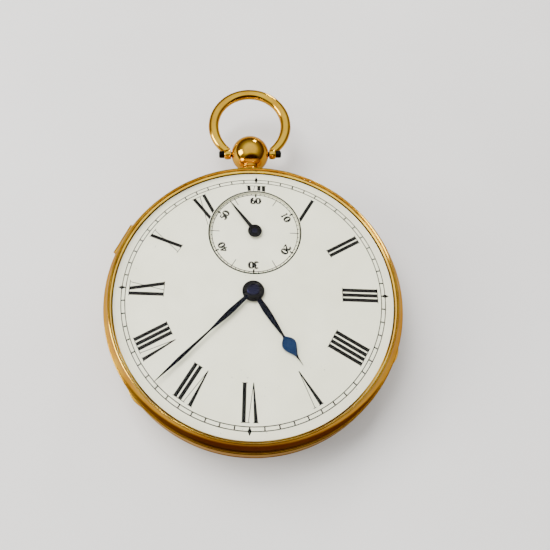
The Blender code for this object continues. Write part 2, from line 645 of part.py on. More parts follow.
def dial_and_hands():
    low = DIAL_SEAT_Z
    outlines = [circle(0, 0, DIAL_RADIUS, 60), circle(*FOURTH, SUBDIAL_OPENING, 40), circle(0, 0, 1.0, 14)]
    dial = slab(outlines, low, DIAL_TOP_Z)
    feet = [slab([circle(*foot, 0.5, 10)], PLATE_Z[0] + 0.2, low + 0.3) for foot in DIAL_FEET]
    joined(dial, *feet)
    node("dial", dial, "enamel")
    lap, edge, sunk_z = SUBDIAL_OPENING + 0.5, SUBDIAL_OPENING - 0.05, DIAL_TOP_Z - SUBDIAL_DEPTH
    sunk = turned([
        (0.35, low - 0.25), (lap, low - 0.25), (lap, low - FIT), (edge, low - FIT), (edge, sunk_z),
        (0.35, sunk_z),
    ])
    node("seconds_dial", sunk, "enamel", at=FOURTH)

    hour = [(0.9, 0.3), (1.4, 0.37), (3.6, 0.5), (6.6, 0.34), (8.2, 0.19), (8.8, 0.42), (9.6, 0.86),
            (10.2, 0.8), (10.9, 0.45), (11.5, 0.16), (HOUR_HAND_LENGTH, 0.03)]
    hub_z = (HOUR_HAND_Z - 0.06, HOUR_HAND_Z + 0.2)
    hand("hour_hand", HOUR_HAND_DEG, HOUR_HAND_Z, CENTRE, hour, HOUR_HUB, HOUR_PIPE + 0.03, hub_z)
    minute = [(0.7, 0.22), (3.0, 0.34), (5.2, 0.42), (7.4, 0.28), (9.2, 0.14), (12.0, 0.2), (14.8, 0.26),
              (17.6, 0.15), (MINUTE_HAND_LENGTH, 0.03)]
    hub_z = (MINUTE_HAND_Z - 0.02, MINUTE_HAND_Z + 0.2)
    hand("minute_hand", MINUTE_HAND_DEG, MINUTE_HAND_Z, CENTRE, minute, MINUTE_HUB, MINUTE_PIPE + 0.03, hub_z)
    seconds = [(0.0, 0.16), (2.0, 0.14), (4.0, 0.09), (SECONDS_HAND_LENGTH, 0.03)]
    hub_z = (SECONDS_HAND_Z - 0.1, SECONDS_HAND_Z + 0.17)
    hand("seconds_hand", SECONDS_HAND_DEG, SECONDS_HAND_Z, FOURTH, seconds, SECONDS_HUB, 0.17, hub_z)


def arbor(steps, sides=ARBOR_SIDES):
    """A turned solid rod from (radius, z0, z1) steps, low end first."""
    profile = [(0, steps[0][1])]
    for radius, z0, z1 in steps:
        profile += [(radius, z0), (radius, z1)]
    return turned(profile + [(0, steps[-1][2])], sides, closed=False)


def axle(radius):
    """An arbor that runs in a bar and in the plate."""
    core = (radius, LOW_PIVOT_Z[1], HIGH_PIVOT_Z[0])
    return arbor([(PIVOT_RADIUS, *LOW_PIVOT_Z), core, (PIVOT_RADIUS, *HIGH_PIVOT_Z)])


def motion_work():
    module = module_of(MINUTE_TEETH, CANNON_LEAVES, MOTION_DISTANCE)
    line = toward(CENTRE, MINUTE)
    phase = line + math.pi / CANNON_LEAVES
    cannon = slab([pinion_outline(CANNON_LEAVES, module, phase)], *PINION_Z["cannon"])
    pipe_top = MINUTE_HAND_Z + 0.22
    joined(cannon, slab([circle(0, 0, MINUTE_PIPE, 14)], PINION_Z["cannon"][0] - 0.04, pipe_top))
    cut(cannon, slab([circle(0, 0, SETTING_RADIUS + FIT, 12)], PLATE_Z[1] - 0.3, pipe_top + 0.5))
    node("cannon_pinion", cannon, "steel")

    wheel = slab([wheel_outline(MINUTE_TEETH, module, line + math.pi)], *WHEEL_Z["minute"])
    phase = line + math.pi + math.pi / MINUTE_LEAVES
    leaves = slab([pinion_outline(MINUTE_LEAVES, module, phase)], *PINION_Z["minute"])
    post = [(PIVOT_RADIUS + 0.1, PLATE_Z[0] + 0.2, 6.38), (0.35, 6.38, PINION_Z["minute"][1] + 0.04)]
    joined(wheel, leaves, arbor(post))
    node("minute_wheel", wheel, "gilt_brass", at=MINUTE)

    hour = slab([wheel_outline(HOUR_TEETH, module, line)], *WHEEL_Z["hour"])
    joined(hour, slab([circle(0, 0, HOUR_PIPE, 16)], WHEEL_Z["hour"][0] - 0.02, HOUR_HAND_Z + 0.18))
    cut(hour, slab([circle(0, 0, MINUTE_PIPE + FIT, 14)], PLATE_Z[1] - 0.3, HOUR_HAND_Z + 0.6))
    node("hour_wheel", hour, "gilt_brass")

    crown = [(0, 0), (0.45, -0.04), (0.8, -0.14), (0.97, -0.32), (SETTING_RADIUS, -0.32)]
    shaft = [(r, SETTING_TOP_Z + z) for r, z in crown] + [(SETTING_RADIUS, 1.9), (0, 1.9)]
    setting = turned(shaft, 16, closed=False)
    square = KEY_SQUARE * 0.75
    joined(setting, box(-square, square, -square, square, KEY_END_Z, 2.05))
    node("setting_arbor", setting, "blued_steel")


def train():
    barrel_module = module_of(BARREL_TEETH, CENTRE_LEAVES, math.dist(BARREL, CENTRE))
    third_module = module_of(CENTRE_TEETH, THIRD_LEAVES, math.dist(CENTRE, THIRD))
    fourth_module = module_of(THIRD_TEETH, FOURTH_LEAVES, math.dist(THIRD, FOURTH))
    escape_module = module_of(FOURTH_TEETH, ESCAPE_LEAVES, ESCAPE_DISTANCE)
    node("barrel", barrel(barrel_module), "gilt_brass", at=BARREL)

    rim = wheel_outline(CENTRE_TEETH, third_module, toward(CENTRE, THIRD))
    wheel = slab([rim, *windows(1.6, 4.9, 3, 0.9)], *WHEEL_Z["centre"])
    phase = toward(CENTRE, BARREL) + math.pi / CENTRE_LEAVES
    leaves = slab([pinion_outline(CENTRE_LEAVES, barrel_module, phase)], *PINION_Z["centre"])
    joined(wheel, leaves, slab([circle(0, 0, CENTRE_PIPE, 14)], LOW_PIVOT_Z[0], PLATE_Z[1] + 0.04))
    cut(wheel, slab([circle(0, 0, SETTING_RADIUS + FIT, 12)], BAR_Z[0] - 0.2, PLATE_Z[1] + 0.7))
    node("centre_wheel", wheel, "gilt_brass")

    rim = wheel_outline(THIRD_TEETH, fourth_module, toward(THIRD, FOURTH))
    wheel = slab([rim, *windows(1.1, 3.9, 3, 0.7)], *WHEEL_Z["third"])
    phase = toward(THIRD, CENTRE) + math.pi / THIRD_LEAVES
    leaves = slab([pinion_outline(THIRD_LEAVES, third_module, phase)], *PINION_Z["third"])
    joined(wheel, leaves, axle(0.3))
    node("third_wheel", wheel, "gilt_brass", at=THIRD)

    rim = wheel_outline(FOURTH_TEETH, escape_module, toward(FOURTH, ESCAPE))
    wheel = slab([rim, *windows(1.0, 3.4, 3, 0.6)], *WHEEL_Z["fourth"])
    phase = toward(FOURTH, THIRD) + math.pi / FOURTH_LEAVES
    leaves = slab([pinion_outline(FOURTH_LEAVES, fourth_module, phase)], *PINION_Z["fourth"])
    seconds_pivot = (0.15, HIGH_PIVOT_Z[0], SECONDS_HAND_Z + 0.14)
    core = (0.3, LOW_PIVOT_Z[1], HIGH_PIVOT_Z[0])
    joined(wheel, leaves, arbor([(PIVOT_RADIUS, *LOW_PIVOT_Z), core, seconds_pivot]))
    node("fourth_wheel", wheel, "gilt_brass", at=FOURTH)

    wheel = slab([escape_outline(), *windows(0.6, 1.9, 3, 0.35)], *WHEEL_Z["escape"])
    phase = toward(ESCAPE, FOURTH) + math.pi / ESCAPE_LEAVES
    leaves = slab([pinion_outline(ESCAPE_LEAVES, escape_module, phase)], *PINION_Z["escape"])
    joined(wheel, leaves, axle(ARBOR_RADIUS))
    node("escape_wheel", wheel, "steel", at=ESCAPE)


def escape_outline():
    """Fifteen hooked teeth with their locking faces toward the turn."""
    line = []
    pitch = 2 * math.pi / ESCAPE_TEETH
    for i in range(ESCAPE_TEETH):
        a = i * pitch
        for radius, part in ((2.3, 0.0), (ESCAPE_TIP, 0.25), (2.35, 0.42)):
            line.append((radius * math.cos(a + part * pitch), radius * math.sin(a + part * pitch)))
    return line


def barrel(module):
    """Drum with its teeth near the open side and a floor toward the plate."""
    rim = wheel_outline(BARREL_TEETH, module, toward(BARREL, CENTRE))
    teeth = slab([rim, circle(0, 0, DRUM_RADIUS - 0.3, 40)], *WHEEL_Z["barrel"])
    wall = DRUM_RADIUS - 0.4
    drum = turned([
        (wall, 2.95), (DRUM_RADIUS, 2.95), (DRUM_RADIUS, 4.5), (0.9, 4.5), (0.9, 4.28), (wall, 4.28),
    ])
    return joined(drum, teeth)


def spiral(inner, outer, turns, wall, z0, z1, per_turn=14):
    """A flat strip wound into a spiral."""
    steps = int(turns * per_turn)
    points, faces = [], []
    for i in range(steps + 1):
        a = 2 * math.pi * turns * i / steps
        r = inner + (outer - inner) * i / steps
        for radius, z in ((r - wall / 2, z0), (r + wall / 2, z0), (r + wall / 2, z1), (r - wall / 2, z1)):
            points.append((radius * math.cos(a), radius * math.sin(a), z))
    for i in range(steps):
        for k in range(4):
            j = (k + 1) % 4
            faces.append((4 * i + k, 4 * i + j, 4 * i + 4 + j, 4 * i + 4 + k))
    faces.append((0, 1, 2, 3))
    faces.append(tuple(4 * steps + k for k in range(4)))
    return body(points, faces)


def power():
    steps = [(0.8, 1.7, 3.25), (2.0, 3.26, 4.2), (0.8, 4.2, HIGH_PIVOT_Z[0]), (0.6, *HIGH_PIVOT_Z)]
    core = arbor(steps, 14)
    joined(core, box(-KEY_SQUARE, KEY_SQUARE, -KEY_SQUARE, KEY_SQUARE, KEY_END_Z, 1.8))
    node("barrel_arbor", core, "steel", at=BARREL)
    cover = slab([circle(0, 0, DRUM_RADIUS - 0.45, 36), circle(0, 0, 0.88, 14)], 2.98, 3.18)
    node("barrel_cover", cover, "gilt_brass", at=BARREL)
    node("mainspring", spiral(2.15, DRUM_RADIUS - 0.55, 5, 0.2, 3.3, 4.18), "steel", at=BARREL)

    pitch = 2 * math.pi / RATCHET_TEETH
    line = []
    for i in range(RATCHET_TEETH):
        line.append((2.6 * math.cos(i * pitch), 2.6 * math.sin(i * pitch)))
        line.append((2.25 * math.cos((i + 0.15) * pitch), 2.25 * math.sin((i + 0.15) * pitch)))
    node("ratchet_wheel", slab([line, circle(0, 0, 0.84, 14)], *WHEEL_Z["ratchet"]), "steel", at=BARREL)

    tip = [(-1.75, 0.9), (-1.5, 1.25), (-1.3, 0.95)]
    click = slab([hull(circle(0, 0, 0.7, 14) + tip), circle(0, 0, 0.34, 10)], *WHEEL_Z["ratchet"])
    moved(click, Matrix.Rotation(BAR_LINE, 4, "Z"))
    node("click", click, "steel", at=CLICK)
    screw = arbor([(0.6, 1.5, 1.77), (0.3, 1.77, 2.5)], 12)
    node("click_screw", screw, "blued_steel", at=CLICK)
    strip = [(1.2, -0.75), (0.2, -1.0), (-0.6, -1.0), (-0.6, -1.15), (0.3, -1.17), (1.3, -0.95), (2.6, -0.95),
             (3.2, -0.9), (3.2, -0.3)]
    spring = slab([strip], *WHEEL_Z["ratchet"])
    moved(spring, Matrix.Rotation(BAR_LINE, 4, "Z"))
    node("click_spring", spring, "steel", at=CLICK)


def bar(name, pivots, feet, z0, z1, foot_radius):
    """A bar with pivot holes, and feet that stand on the main plate. Pivots are (point, radius, hole)."""
    outline = [p for point, radius, _ in pivots for p in circle(*point, radius, 16)]
    outline += [p for point, radius in feet for p in circle(*point, radius, 14)]
    made = slab([hull(outline)], z0, z1)
    stands = [slab([circle(*point, foot_radius, 12)], z0 + 0.2, PLATE_Z[0] - 0.03) for point, _ in feet]
    joined(made, *stands)
    holes = [slab([circle(*point, hole, 12)], z0 - 1, z1 + 0.5) for point, _, hole in pivots if hole]
    holes += [slab([circle(*point, SCREW_RADIUS + 0.05, 10)], z0 - 1, 6) for point, _ in feet]
    cut(made, *holes)
    node(name, made, "gilt_brass")
    for number, (point, _) in enumerate(feet):
        suffix = f"_{number + 1}" if len(feet) > 1 else ""
        screw = arbor([(0.75, z0 - 0.3, z0 - 0.02), (SCREW_RADIUS, z0 - 0.02, 5.2)], 10)
        cut(screw, box(-1, 1, -0.1, 0.1, z0 - 1, z0 - 0.18))
        node(f"{name}_screw{suffix}", screw, "blued_steel", at=point)


def bars():
    pivots = [(BARREL, 3.1, 0.87), (CLICK, 0.5, 0.35)]
    bar("barrel_bar", pivots, [(foot, 1.8) for foot in BARREL_FEET], *BAR_Z, 1.3)
    for name, (pivot, foot, pivot_size, foot_size) in BAR_FEET.items():
        hole = CENTRE_PIPE + FIT if name == "centre_bar" else PIVOT_HOLE
        z0, z1 = (3.62, 3.92) if name == "pallet_cock" else BAR_Z
        foot_radius = 0.85 if name == "pallet_cock" else 1.3
        bar(name, [(pivot, pivot_size, hole)], [(foot, foot_size)], z0, z1, foot_radius)


def escapement():
    line = toward(PALLET, BALANCE)
    arm = [(0.0, 0.28), (2.2, 0.16), (2.5, 0.34), (3.05, 0.5), (3.1, 0.2), (2.75, 0.14)]
    fork = [(x, y) for x, y in arm] + [(x, -y) for x, y in reversed(arm)]
    half = [(0.45, 0.5), (-0.1, 0.85), (-0.75, 2.7), (-1.2, 2.55), (-0.5, 0.95), (-0.35, 0.25)]
    anchor = half + [(x, -y) for x, y in reversed(half)]
    lever = slab([fork], 4.16, 4.38)
    joined(lever, slab([anchor], 4.15, 4.39))
    joined(lever, arbor([(PIVOT_RADIUS, 3.66, 3.98), (0.22, 3.98, 5.3), (PIVOT_RADIUS, 5.3, 5.9)]))
    moved(lever, Matrix.Rotation(line, 4, "Z"))
    node("pallet_lever", lever, "steel", at=PALLET)

    rim = []
    screws = 14
    for i in range(screws):
        a = 2 * math.pi * (i + 0.5) / screws
        for radius, part in ((5.85, -0.14), (6.25, -0.14), (6.25, 0.14), (5.85, 0.14)):
            rim.append((radius * math.cos(a + part / 2), radius * math.sin(a + part / 2)))
        rim.append((5.85 * math.cos(a + math.pi / screws), 5.85 * math.sin(a + math.pi / screws)))
    wheel = slab([rim, *windows(0.9, 5.3, 3, 0.6), circle(0, 0, 0.33, 12)], *WHEEL_Z["balance"])
    node("balance_wheel", wheel, "gilt_brass", at=BALANCE)
    staff = arbor([
        (0.1, 2.22, 2.82), (0.5, 2.83, 3.02), (0.29, 3.02, 3.53), (0.7, 3.53, 3.6), (0.22, 3.6, 5.3),
        (0.1, 5.3, 5.9),
    ], 12)
    node("balance_staff", staff, "steel", at=BALANCE)
    roller = slab([circle(0, 0, 1.15, 20), circle(0, 0, 0.26, 12)], 3.97, 4.09)
    joined(roller, slab([circle(-0.95, 0, 0.09, 8)], 4.0, 4.45))
    moved(roller, Matrix.Rotation(line, 4, "Z"))
    node("roller", roller, "steel", at=BALANCE)
    node("hairspring", spiral(0.62, 3.0, 4, 0.05, 2.85, 2.98), "blued_steel", at=BALANCE)
    jewel = turned([(0, 1.78), (0.35, 1.82), (0.5, 1.95), (0.5, 2.12), (0, 2.12)], 14, closed=False)
    node("endstone", jewel, "ruby", at=BALANCE)
    pointer = hull(circle(0, 0, 1.15, 18) + [(-0.15, 3.6), (0.15, 3.6)])
    regulator = slab([pointer, circle(0, 0, 0.62, 14)], 1.88, 2.1)
    node("regulator", regulator, "steel", at=BALANCE)


def plate():
    holes = [(CENTRE, CENTRE_PIPE + 0.08), (THIRD, PIVOT_HOLE), (FOURTH, 0.22), (ESCAPE, PIVOT_HOLE),
             (PALLET, PIVOT_HOLE), (BALANCE, PIVOT_HOLE), (BARREL, 0.66), (MINUTE, 0.28)]
    holes += [(foot, 0.56) for foot in DIAL_FEET]
    outlines = [circle(0, 0, PLATE_RADIUS, 48)] + [circle(*at, radius, 10) for at, radius in holes]
    made = slab(outlines, *PLATE_Z)
    y, z, latch_z = MOVEMENT_HINGE_Y, MOVEMENT_HINGE_Z, PLATE_Z[0] + 0.23
    joined(made, box(-0.5, 0.5, y - 0.4, y + 0.25, PLATE_Z[1] - 0.2, z + 0.23))
    track = box(-1.35, 1.35, -LATCH_Y - 1.65, -LATCH_Y + 1.45, latch_z - 0.05, PLATE_Z[1] + 0.2)
    cut(made, lug_bore(), track)
    node("main_plate", made, "gilt_brass")
    pin = moved(rod(LUG_BORE - 0.05, -1.45, 1.45, 10), Matrix.Rotation(math.radians(-90), 4, "Z"))
    node("movement_hinge_pin", pin, "steel", at=(0, y), z=z)
    latch = box(-1.2, 1.2, -0.95, 0.95, latch_z, latch_z + 0.45)
    joined(latch, box(-0.5, 0.5, -0.3, 0.3, latch_z + 0.37, latch_z + 1.27))
    node("movement_latch", latch, "steel", at=(0, -LATCH_Y))


start()
case()
pendant()
bow()
bezel_and_glass()
back()
inner_dome()
dial_and_hands()
motion_work()
train()
power()
bars()
escapement()
plate()
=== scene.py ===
"""Looks of the open face pocket watch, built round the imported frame. Sizes are in millimetres here."""

import json
import math

import bmesh
import bpy
from mathutils import Euler, Matrix, Vector
from mathutils.geometry import tessellate_polygon

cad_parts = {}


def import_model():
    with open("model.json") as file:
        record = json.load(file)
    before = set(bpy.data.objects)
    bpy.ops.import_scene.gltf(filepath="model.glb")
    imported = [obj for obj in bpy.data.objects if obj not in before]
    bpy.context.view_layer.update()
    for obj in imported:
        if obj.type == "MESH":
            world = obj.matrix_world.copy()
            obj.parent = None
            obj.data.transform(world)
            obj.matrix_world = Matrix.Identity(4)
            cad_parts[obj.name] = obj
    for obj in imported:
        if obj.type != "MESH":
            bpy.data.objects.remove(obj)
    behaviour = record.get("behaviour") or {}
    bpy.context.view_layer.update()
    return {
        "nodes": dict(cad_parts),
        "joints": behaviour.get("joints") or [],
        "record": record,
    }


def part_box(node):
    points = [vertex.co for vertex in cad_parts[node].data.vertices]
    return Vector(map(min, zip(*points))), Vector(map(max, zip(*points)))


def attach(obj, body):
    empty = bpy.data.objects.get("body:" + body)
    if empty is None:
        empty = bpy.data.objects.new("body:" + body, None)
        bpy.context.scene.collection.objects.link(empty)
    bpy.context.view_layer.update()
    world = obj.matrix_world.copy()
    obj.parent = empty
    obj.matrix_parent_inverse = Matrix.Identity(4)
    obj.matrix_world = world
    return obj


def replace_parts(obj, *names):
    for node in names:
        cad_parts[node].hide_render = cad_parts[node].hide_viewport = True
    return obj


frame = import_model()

MM = 0.001
TURN = 2 * math.pi


def low_z(node):
    """The height of a node's lowest point."""
    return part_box(node)[0][2] / MM


def high_z(node):
    """The height of a node's highest point."""
    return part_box(node)[1][2] / MM


def wide(node):
    """Half the width of a node along x."""
    low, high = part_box(node)
    return (high[0] - low[0]) / 2 / MM


JOINTS = {joint["name"]: joint for joint in frame["joints"]}


def joint_place(name):
    """A point on a joint's axis."""
    return Vector(JOINTS[name]["pos_m"]) / MM


# Sizes read from the frame
CASE_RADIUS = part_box("bezel")[1][0] / MM
DIAL_TOP = high_z("dial")
DIAL_RADIUS = wide("dial")
FOURTH = joint_place("fourth_turn")
SECONDS_DISTANCE = math.hypot(FOURTH.x, FOURTH.y)
CLOCKING = math.atan2(FOURTH.y, FOURTH.x) - math.pi / 2
SUNK_TOP = high_z("seconds_dial")
BOW_PIVOT = joint_place("bow_swing")
BEZEL_HINGE = joint_place("bezel_open")
BACK_HINGE = joint_place("back_open")
BEZEL_BASE = BEZEL_HINGE.z
BEZEL_TOP = high_z("bezel")
BACK_TOP = BACK_HINGE.z
SEAM = 0.03

# Sizes of the looks
SEGMENTS = 192  # sides of the case's rings
CASE_EDGE = 0.12  # how far the case's seams draw in from its radius
BEZEL_MOUTH = DIAL_RADIUS + 0.4
GLASS_RADIUS = BEZEL_MOUTH + 0.16
GLASS_EDGE = 0.23  # thickness of the glass where the bezel holds it
GLASS_WALL = 0.6
BACK_FLAT, BACK_WALL = 11.6, 0.45
DOME_WALL = 0.35
KNUCKLE, BORE, HINGE_PIN = 0.36, 0.2, 0.16  # radii
KNUCKLE_HALF, KNUCKLE_SIDE, KNUCKLE_GAP = 1.2, 1.5, 0.04  # lengths along the hinge
KEY_HOLE = 1.3
BALL = wide("pendant")
BALL_BORE = 0.5
SCREW_HALF = wide("bow_screw")
EYE_IN, EYE_OUT, EYE = BALL + 0.08, BALL + 1.28, 0.98
BOW_RADIUS, BOW_OFFSET, BOW_TILT = 6.6, 5.85, math.radians(8.5)
WIRE, WIRE_DEPTH, TAPER = 0.925, 0.8, 0.78  # half sizes of the bow's wire, and how far its ends thin
DIAL_UNIT = 20.5  # radius that the dial's layout is drawn to
DIAL_THICKNESS = 0.8
OPENING = 7.3  # radius of the hole for the sunk seconds dial
PRINT = 0.012  # height of the black print
TRACK_IN, TRACK_OUT = 0.9545 * DIAL_UNIT, 0.9835 * DIAL_UNIT
HOUR_ANGLE, MINUTE_ANGLE, SECONDS_ANGLE = 146.1, 223.9, 321.7  # degrees clockwise from 12
BOSS_RADIUS, BOSS_HEIGHT = 0.98, 0.3

MOVEMENT = Matrix.Rotation(CLOCKING, 4, "Z")
AT_FOURTH = Matrix.Translation((FOURTH.x, FOURTH.y, 0)) @ MOVEMENT
Z_TO_X = Matrix.Rotation(math.radians(90), 4, "Y")
Z_TO_Y = Matrix.Rotation(math.radians(-90), 4, "X")


# ---------------------------------------------------------------- materials


def material(name, colour, metal, rough=0.3):
    """A Principled material and its tree, for the functions below to detail."""
    made = bpy.data.materials.new(name)
    made.use_nodes = True
    shader = made.node_tree.nodes["Principled BSDF"]
    shader.inputs["Base Color"].default_value = (*colour, 1)
    shader.inputs["Metallic"].default_value = metal
    shader.inputs["Roughness"].default_value = rough
    return made, made.node_tree, shader


def noise(tree, scale, detail, stretch=(1, 1, 1)):
    """Noise in object space, its scale in waves per metre."""
    coords = tree.nodes.new("ShaderNodeTexCoord")
    mapping = tree.nodes.new("ShaderNodeMapping")
    mapping.inputs["Scale"].default_value = stretch
    texture = tree.nodes.new("ShaderNodeTexNoise")
    texture.inputs["Scale"].default_value = scale
    texture.inputs["Detail"].default_value = detail
    tree.links.new(coords.outputs["Object"], mapping.inputs["Vector"])
    tree.links.new(mapping.outputs["Vector"], texture.inputs["Vector"])
    return texture.outputs["Fac"]


def ramp(tree, source, stops):
    """A colour ramp; each stop is (position, colour or grey)."""
    node = tree.nodes.new("ShaderNodeValToRGB")
    elements = node.color_ramp.elements
    while len(elements) < len(stops):
        elements.new(0.5)
    for element, (position, value) in zip(elements, stops):
        element.position = position
        grey = isinstance(value, (int, float))
        element.color = (value, value, value, 1) if grey else (*value, 1)
    tree.links.new(source, node.inputs["Fac"])
    return node.outputs["Color"]


def bump(tree, shader, source, strength, distance):
    """Fine relief from a grey source."""
    node = tree.nodes.new("ShaderNodeBump")
    node.inputs["Strength"].default_value = strength
    node.inputs["Distance"].default_value = distance
    tree.links.new(source, node.inputs["Height"])
    tree.links.new(node.outputs["Normal"], shader.inputs["Normal"])


def polished_metal(name, light, dark, rough=(0.1, 0.26), wear=0.06):
    """Worn polished metal: slow colour drift, fine scratches in roughness and a faint hand-worked bump."""
    made, tree, shader = material(name, light, 1.0)
    drift = ramp(tree, noise(tree, 260.0, 3), [(0.35, dark), (0.62, light)])
    tree.links.new(drift, shader.inputs["Base Color"])
    scratch = ramp(tree, noise(tree, 2600.0, 8, (1, 1, 4)), [(0.3, rough[0]), (0.75, rough[1])])
    tree.links.new(scratch, shader.inputs["Roughness"])
    bump(tree, shader, noise(tree, 900.0, 5), wear, 0.00002)
    return made


def enamel_material():
    """Fired enamel: warm white with slow mottling, pinhole specks and a glossy top."""
    made, tree, shader = material("fired_enamel", (0.8, 0.78, 0.7), 0.0, 0.16)
    mottle = ramp(tree, noise(tree, 190.0, 5), [(0.3, (0.88, 0.88, 0.68)), (0.7, (0.97, 0.97, 0.77))])
    specks = ramp(tree, noise(tree, 2300.0, 2), [(0.215, 0.18), (0.245, 1.0)])
    mix = tree.nodes.new("ShaderNodeMix")
    mix.data_type = "RGBA"
    mix.blend_type = "MULTIPLY"
    mix.inputs["Factor"].default_value = 0.85
    tree.links.new(mottle, mix.inputs["A"])
    tree.links.new(specks, mix.inputs["B"])
    tree.links.new(mix.outputs["Result"], shader.inputs["Base Color"])
    shader.inputs["Coat Weight"].default_value = 0.5
    shader.inputs["Coat Roughness"].default_value = 0.05
    bump(tree, shader, noise(tree, 500.0, 3), 0.05, 0.00002)
    return made


def print_material():
    """Black print, a little worn, without a sheen."""
    made, tree, shader = material("dial_black", (0.004, 0.004, 0.005), 0.0, 0.45)
    worn = ramp(tree, noise(tree, 3000.0, 4), [(0.22, (0.02, 0.02, 0.02)), (0.32, (0.003, 0.003, 0.003))])
    tree.links.new(worn, shader.inputs["Base Color"])
    rough = ramp(tree, noise(tree, 1800.0, 3), [(0.3, 0.42), (0.7, 0.6)])
    tree.links.new(rough, shader.inputs["Roughness"])
    shader.inputs["Specular IOR Level"].default_value = 0.12
    bump(tree, shader, noise(tree, 2200.0, 3), 0.15, 0.00001)
    return made


def glass_material():
    """Thin clear glass: see-through, with a mirror that grows toward grazing views, up to a limit."""
    made = bpy.data.materials.new("watch_glass")
    made.use_nodes = True
    tree = made.node_tree
    tree.nodes.remove(tree.nodes["Principled BSDF"])
    clear = tree.nodes.new("ShaderNodeBsdfTransparent")
    mirror = tree.nodes.new("ShaderNodeBsdfGlossy")
    mirror.inputs["Roughness"].default_value = 0.02
    edge = tree.nodes.new("ShaderNodeFresnel")
    edge.inputs["IOR"].default_value = 1.22
    mix = tree.nodes.new("ShaderNodeMixShader")
    most = tree.nodes.new("ShaderNodeMath")
    most.operation = "MINIMUM"
    most.inputs[1].default_value = 0.22
    tree.links.new(edge.outputs["Fac"], most.inputs[0])
    tree.links.new(most.outputs["Value"], mix.inputs["Fac"])
    tree.links.new(clear.outputs["BSDF"], mix.inputs[1])
    tree.links.new(mirror.outputs["BSDF"], mix.inputs[2])
    tree.links.new(mix.outputs["Shader"], tree.nodes["Material Output"].inputs["Surface"])
    return made


def frosted_gilt():
    """Gilt brass with a fine frosted grain."""
    made, tree, shader = material("frosted_gilt", (0.8, 0.6, 0.28), 1.0, 0.34)
    tone = ramp(tree, noise(tree, 400.0, 4), [(0.3, (0.68, 0.48, 0.2)), (0.7, (0.84, 0.64, 0.32))])
    tree.links.new(tone, shader.inputs["Base Color"])
    bump(tree, shader, noise(tree, 14000.0, 2), 0.25, 0.00001)
    return made


GOLD = polished_metal("worn_gold", (0.98, 0.63, 0.06), (0.84, 0.47, 0.035), (0.07, 0.19))
# painted shade: a dark copy of the gold for the ring in the gap between dial and bezel
SHADED_SEAT_GOLD = polished_metal("painted_shade_gold", (0.2, 0.11, 0.03), (0.08, 0.04, 0.012), (0.3, 0.5))
RED_GOLD = polished_metal("red_gold_pin", (0.78, 0.43, 0.2), (0.68, 0.34, 0.15))
STEEL = polished_metal("grained_steel", (0.6, 0.6, 0.62), (0.48, 0.48, 0.5), (0.16, 0.32))
BLUED = polished_metal("heat_blued_steel", (0.018, 0.055, 0.17), (0.01, 0.03, 0.1), (0.14, 0.26))
# painted shade: a darker copy of the blued steel for the hand blades; the hour hand's spade keeps the lighter
# one
SHADED_BLUED = polished_metal("blued_steel_painted_shade", (0.005, 0.007, 0.022), (0.003, 0.003, 0.007), (0.2, 0.34))
DARK_STEEL = polished_metal("darkened_steel", (0.018, 0.018, 0.02), (0.007, 0.007, 0.008), (0.25, 0.45), 0.4)
DOME_STEEL = polished_metal("deep_blue_dome", (0.022, 0.022, 0.07), (0.012, 0.012, 0.035), (0.12, 0.2))
GILT = frosted_gilt()
ENAMEL = enamel_material()
BLACK = print_material()
GLASS = glass_material()
RUBY = material("ruby_jewel", (0.45, 0.02, 0.08), 0.0, 0.06)[0]
SLOT_MATERIALS = {
    "gold": GOLD, "red_gold": RED_GOLD, "steel": STEEL, "blued_steel": BLUED, "black_steel": DARK_STEEL,
    "gilt_brass": GILT, "enamel": ENAMEL, "glass": GLASS, "ruby": RUBY,
}


# ---------------------------------------------------------------- mesh helpers


def piece(name, points, faces, look, body, place, sharp=40):
    """A finished piece from points in millimetres, shaded smooth up to the sharp angle."""
    mesh = bpy.data.meshes.new(name)
    mesh.from_pydata([Vector(p) * MM for p in points], [], faces)
    if place is not None:
        scaled = place.copy()
        scaled.translation = place.translation * MM
        mesh.transform(scaled)
    mesh.materials.append(look)
    mesh.shade_smooth()
    mesh.set_sharp_from_angle(angle=math.radians(sharp))
    made = bpy.data.objects.new(name, mesh)
    bpy.context.scene.collection.objects.link(made)
    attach(made, body)
    return made


def fillet(points, size, loop=True):
    """Rounds a profile's corners with short curves of about this size."""
    found = []
    count, steps = len(points), 4
    for i, point in enumerate(points):
        if not loop and i in (0, count - 1):
            found.append(point)
            continue
        here = Vector(point)
        before, after = Vector(points[i - 1]), Vector(points[(i + 1) % count])
        reach = min(size, 0.45 * (before - here).length, 0.45 * (after - here).length)
        a = here + (before - here).normalized() * reach
        b = here + (after - here).normalized() * reach
        for k in range(steps + 1):
            t = k / steps
            found.append(tuple(a * (1 - t) ** 2 + here * 2 * t * (1 - t) + b * t * t))
    return found


def lathe_mesh(profile, segments, loop):
    """(points, faces) of a profile of (radius, z) turned about Z, facing out for an anticlockwise loop."""
    points, rows, faces = [], [], []
    for r, z in profile:
        count = segments if r > 1e-6 else 1
        rows.append(list(range(len(points), len(points) + count)))
        for i in range(count):
            a = TURN * i / segments
            points.append((r * math.cos(a), r * math.sin(a), z))
    pairs = list(zip(rows, rows[1:] + rows[:1]))
    for low, high in pairs if loop else pairs[:-1]:
        for i in range(segments):
            j = (i + 1) % segments
            ring = [low[i % len(low)], low[j % len(low)], high[j % len(high)], high[i % len(high)]]
            faces.append([v for k, v in enumerate(ring) if v not in ring[:k]])
    return points, faces


def lathe(name, profile, look, body, segments=SEGMENTS, place=None, round_to=0.06, loop=None):
    """A turned piece; its profile is a closed loop unless it starts on the axis."""
    loop = profile[0][0] > 0 if loop is None else loop
    points, faces = lathe_mesh(fillet(profile, round_to, loop), segments, loop)
    made = piece(name, points, faces, look, body, place)
    face_out(made)
    return made


def face_out(made):
    """Turns every face of a closed mesh outward."""
    bm = bmesh.new()
    bm.from_mesh(made.data)
    bmesh.ops.recalc_face_normals(bm, faces=bm.faces)
    bm.to_mesh(made.data)
    bm.free()


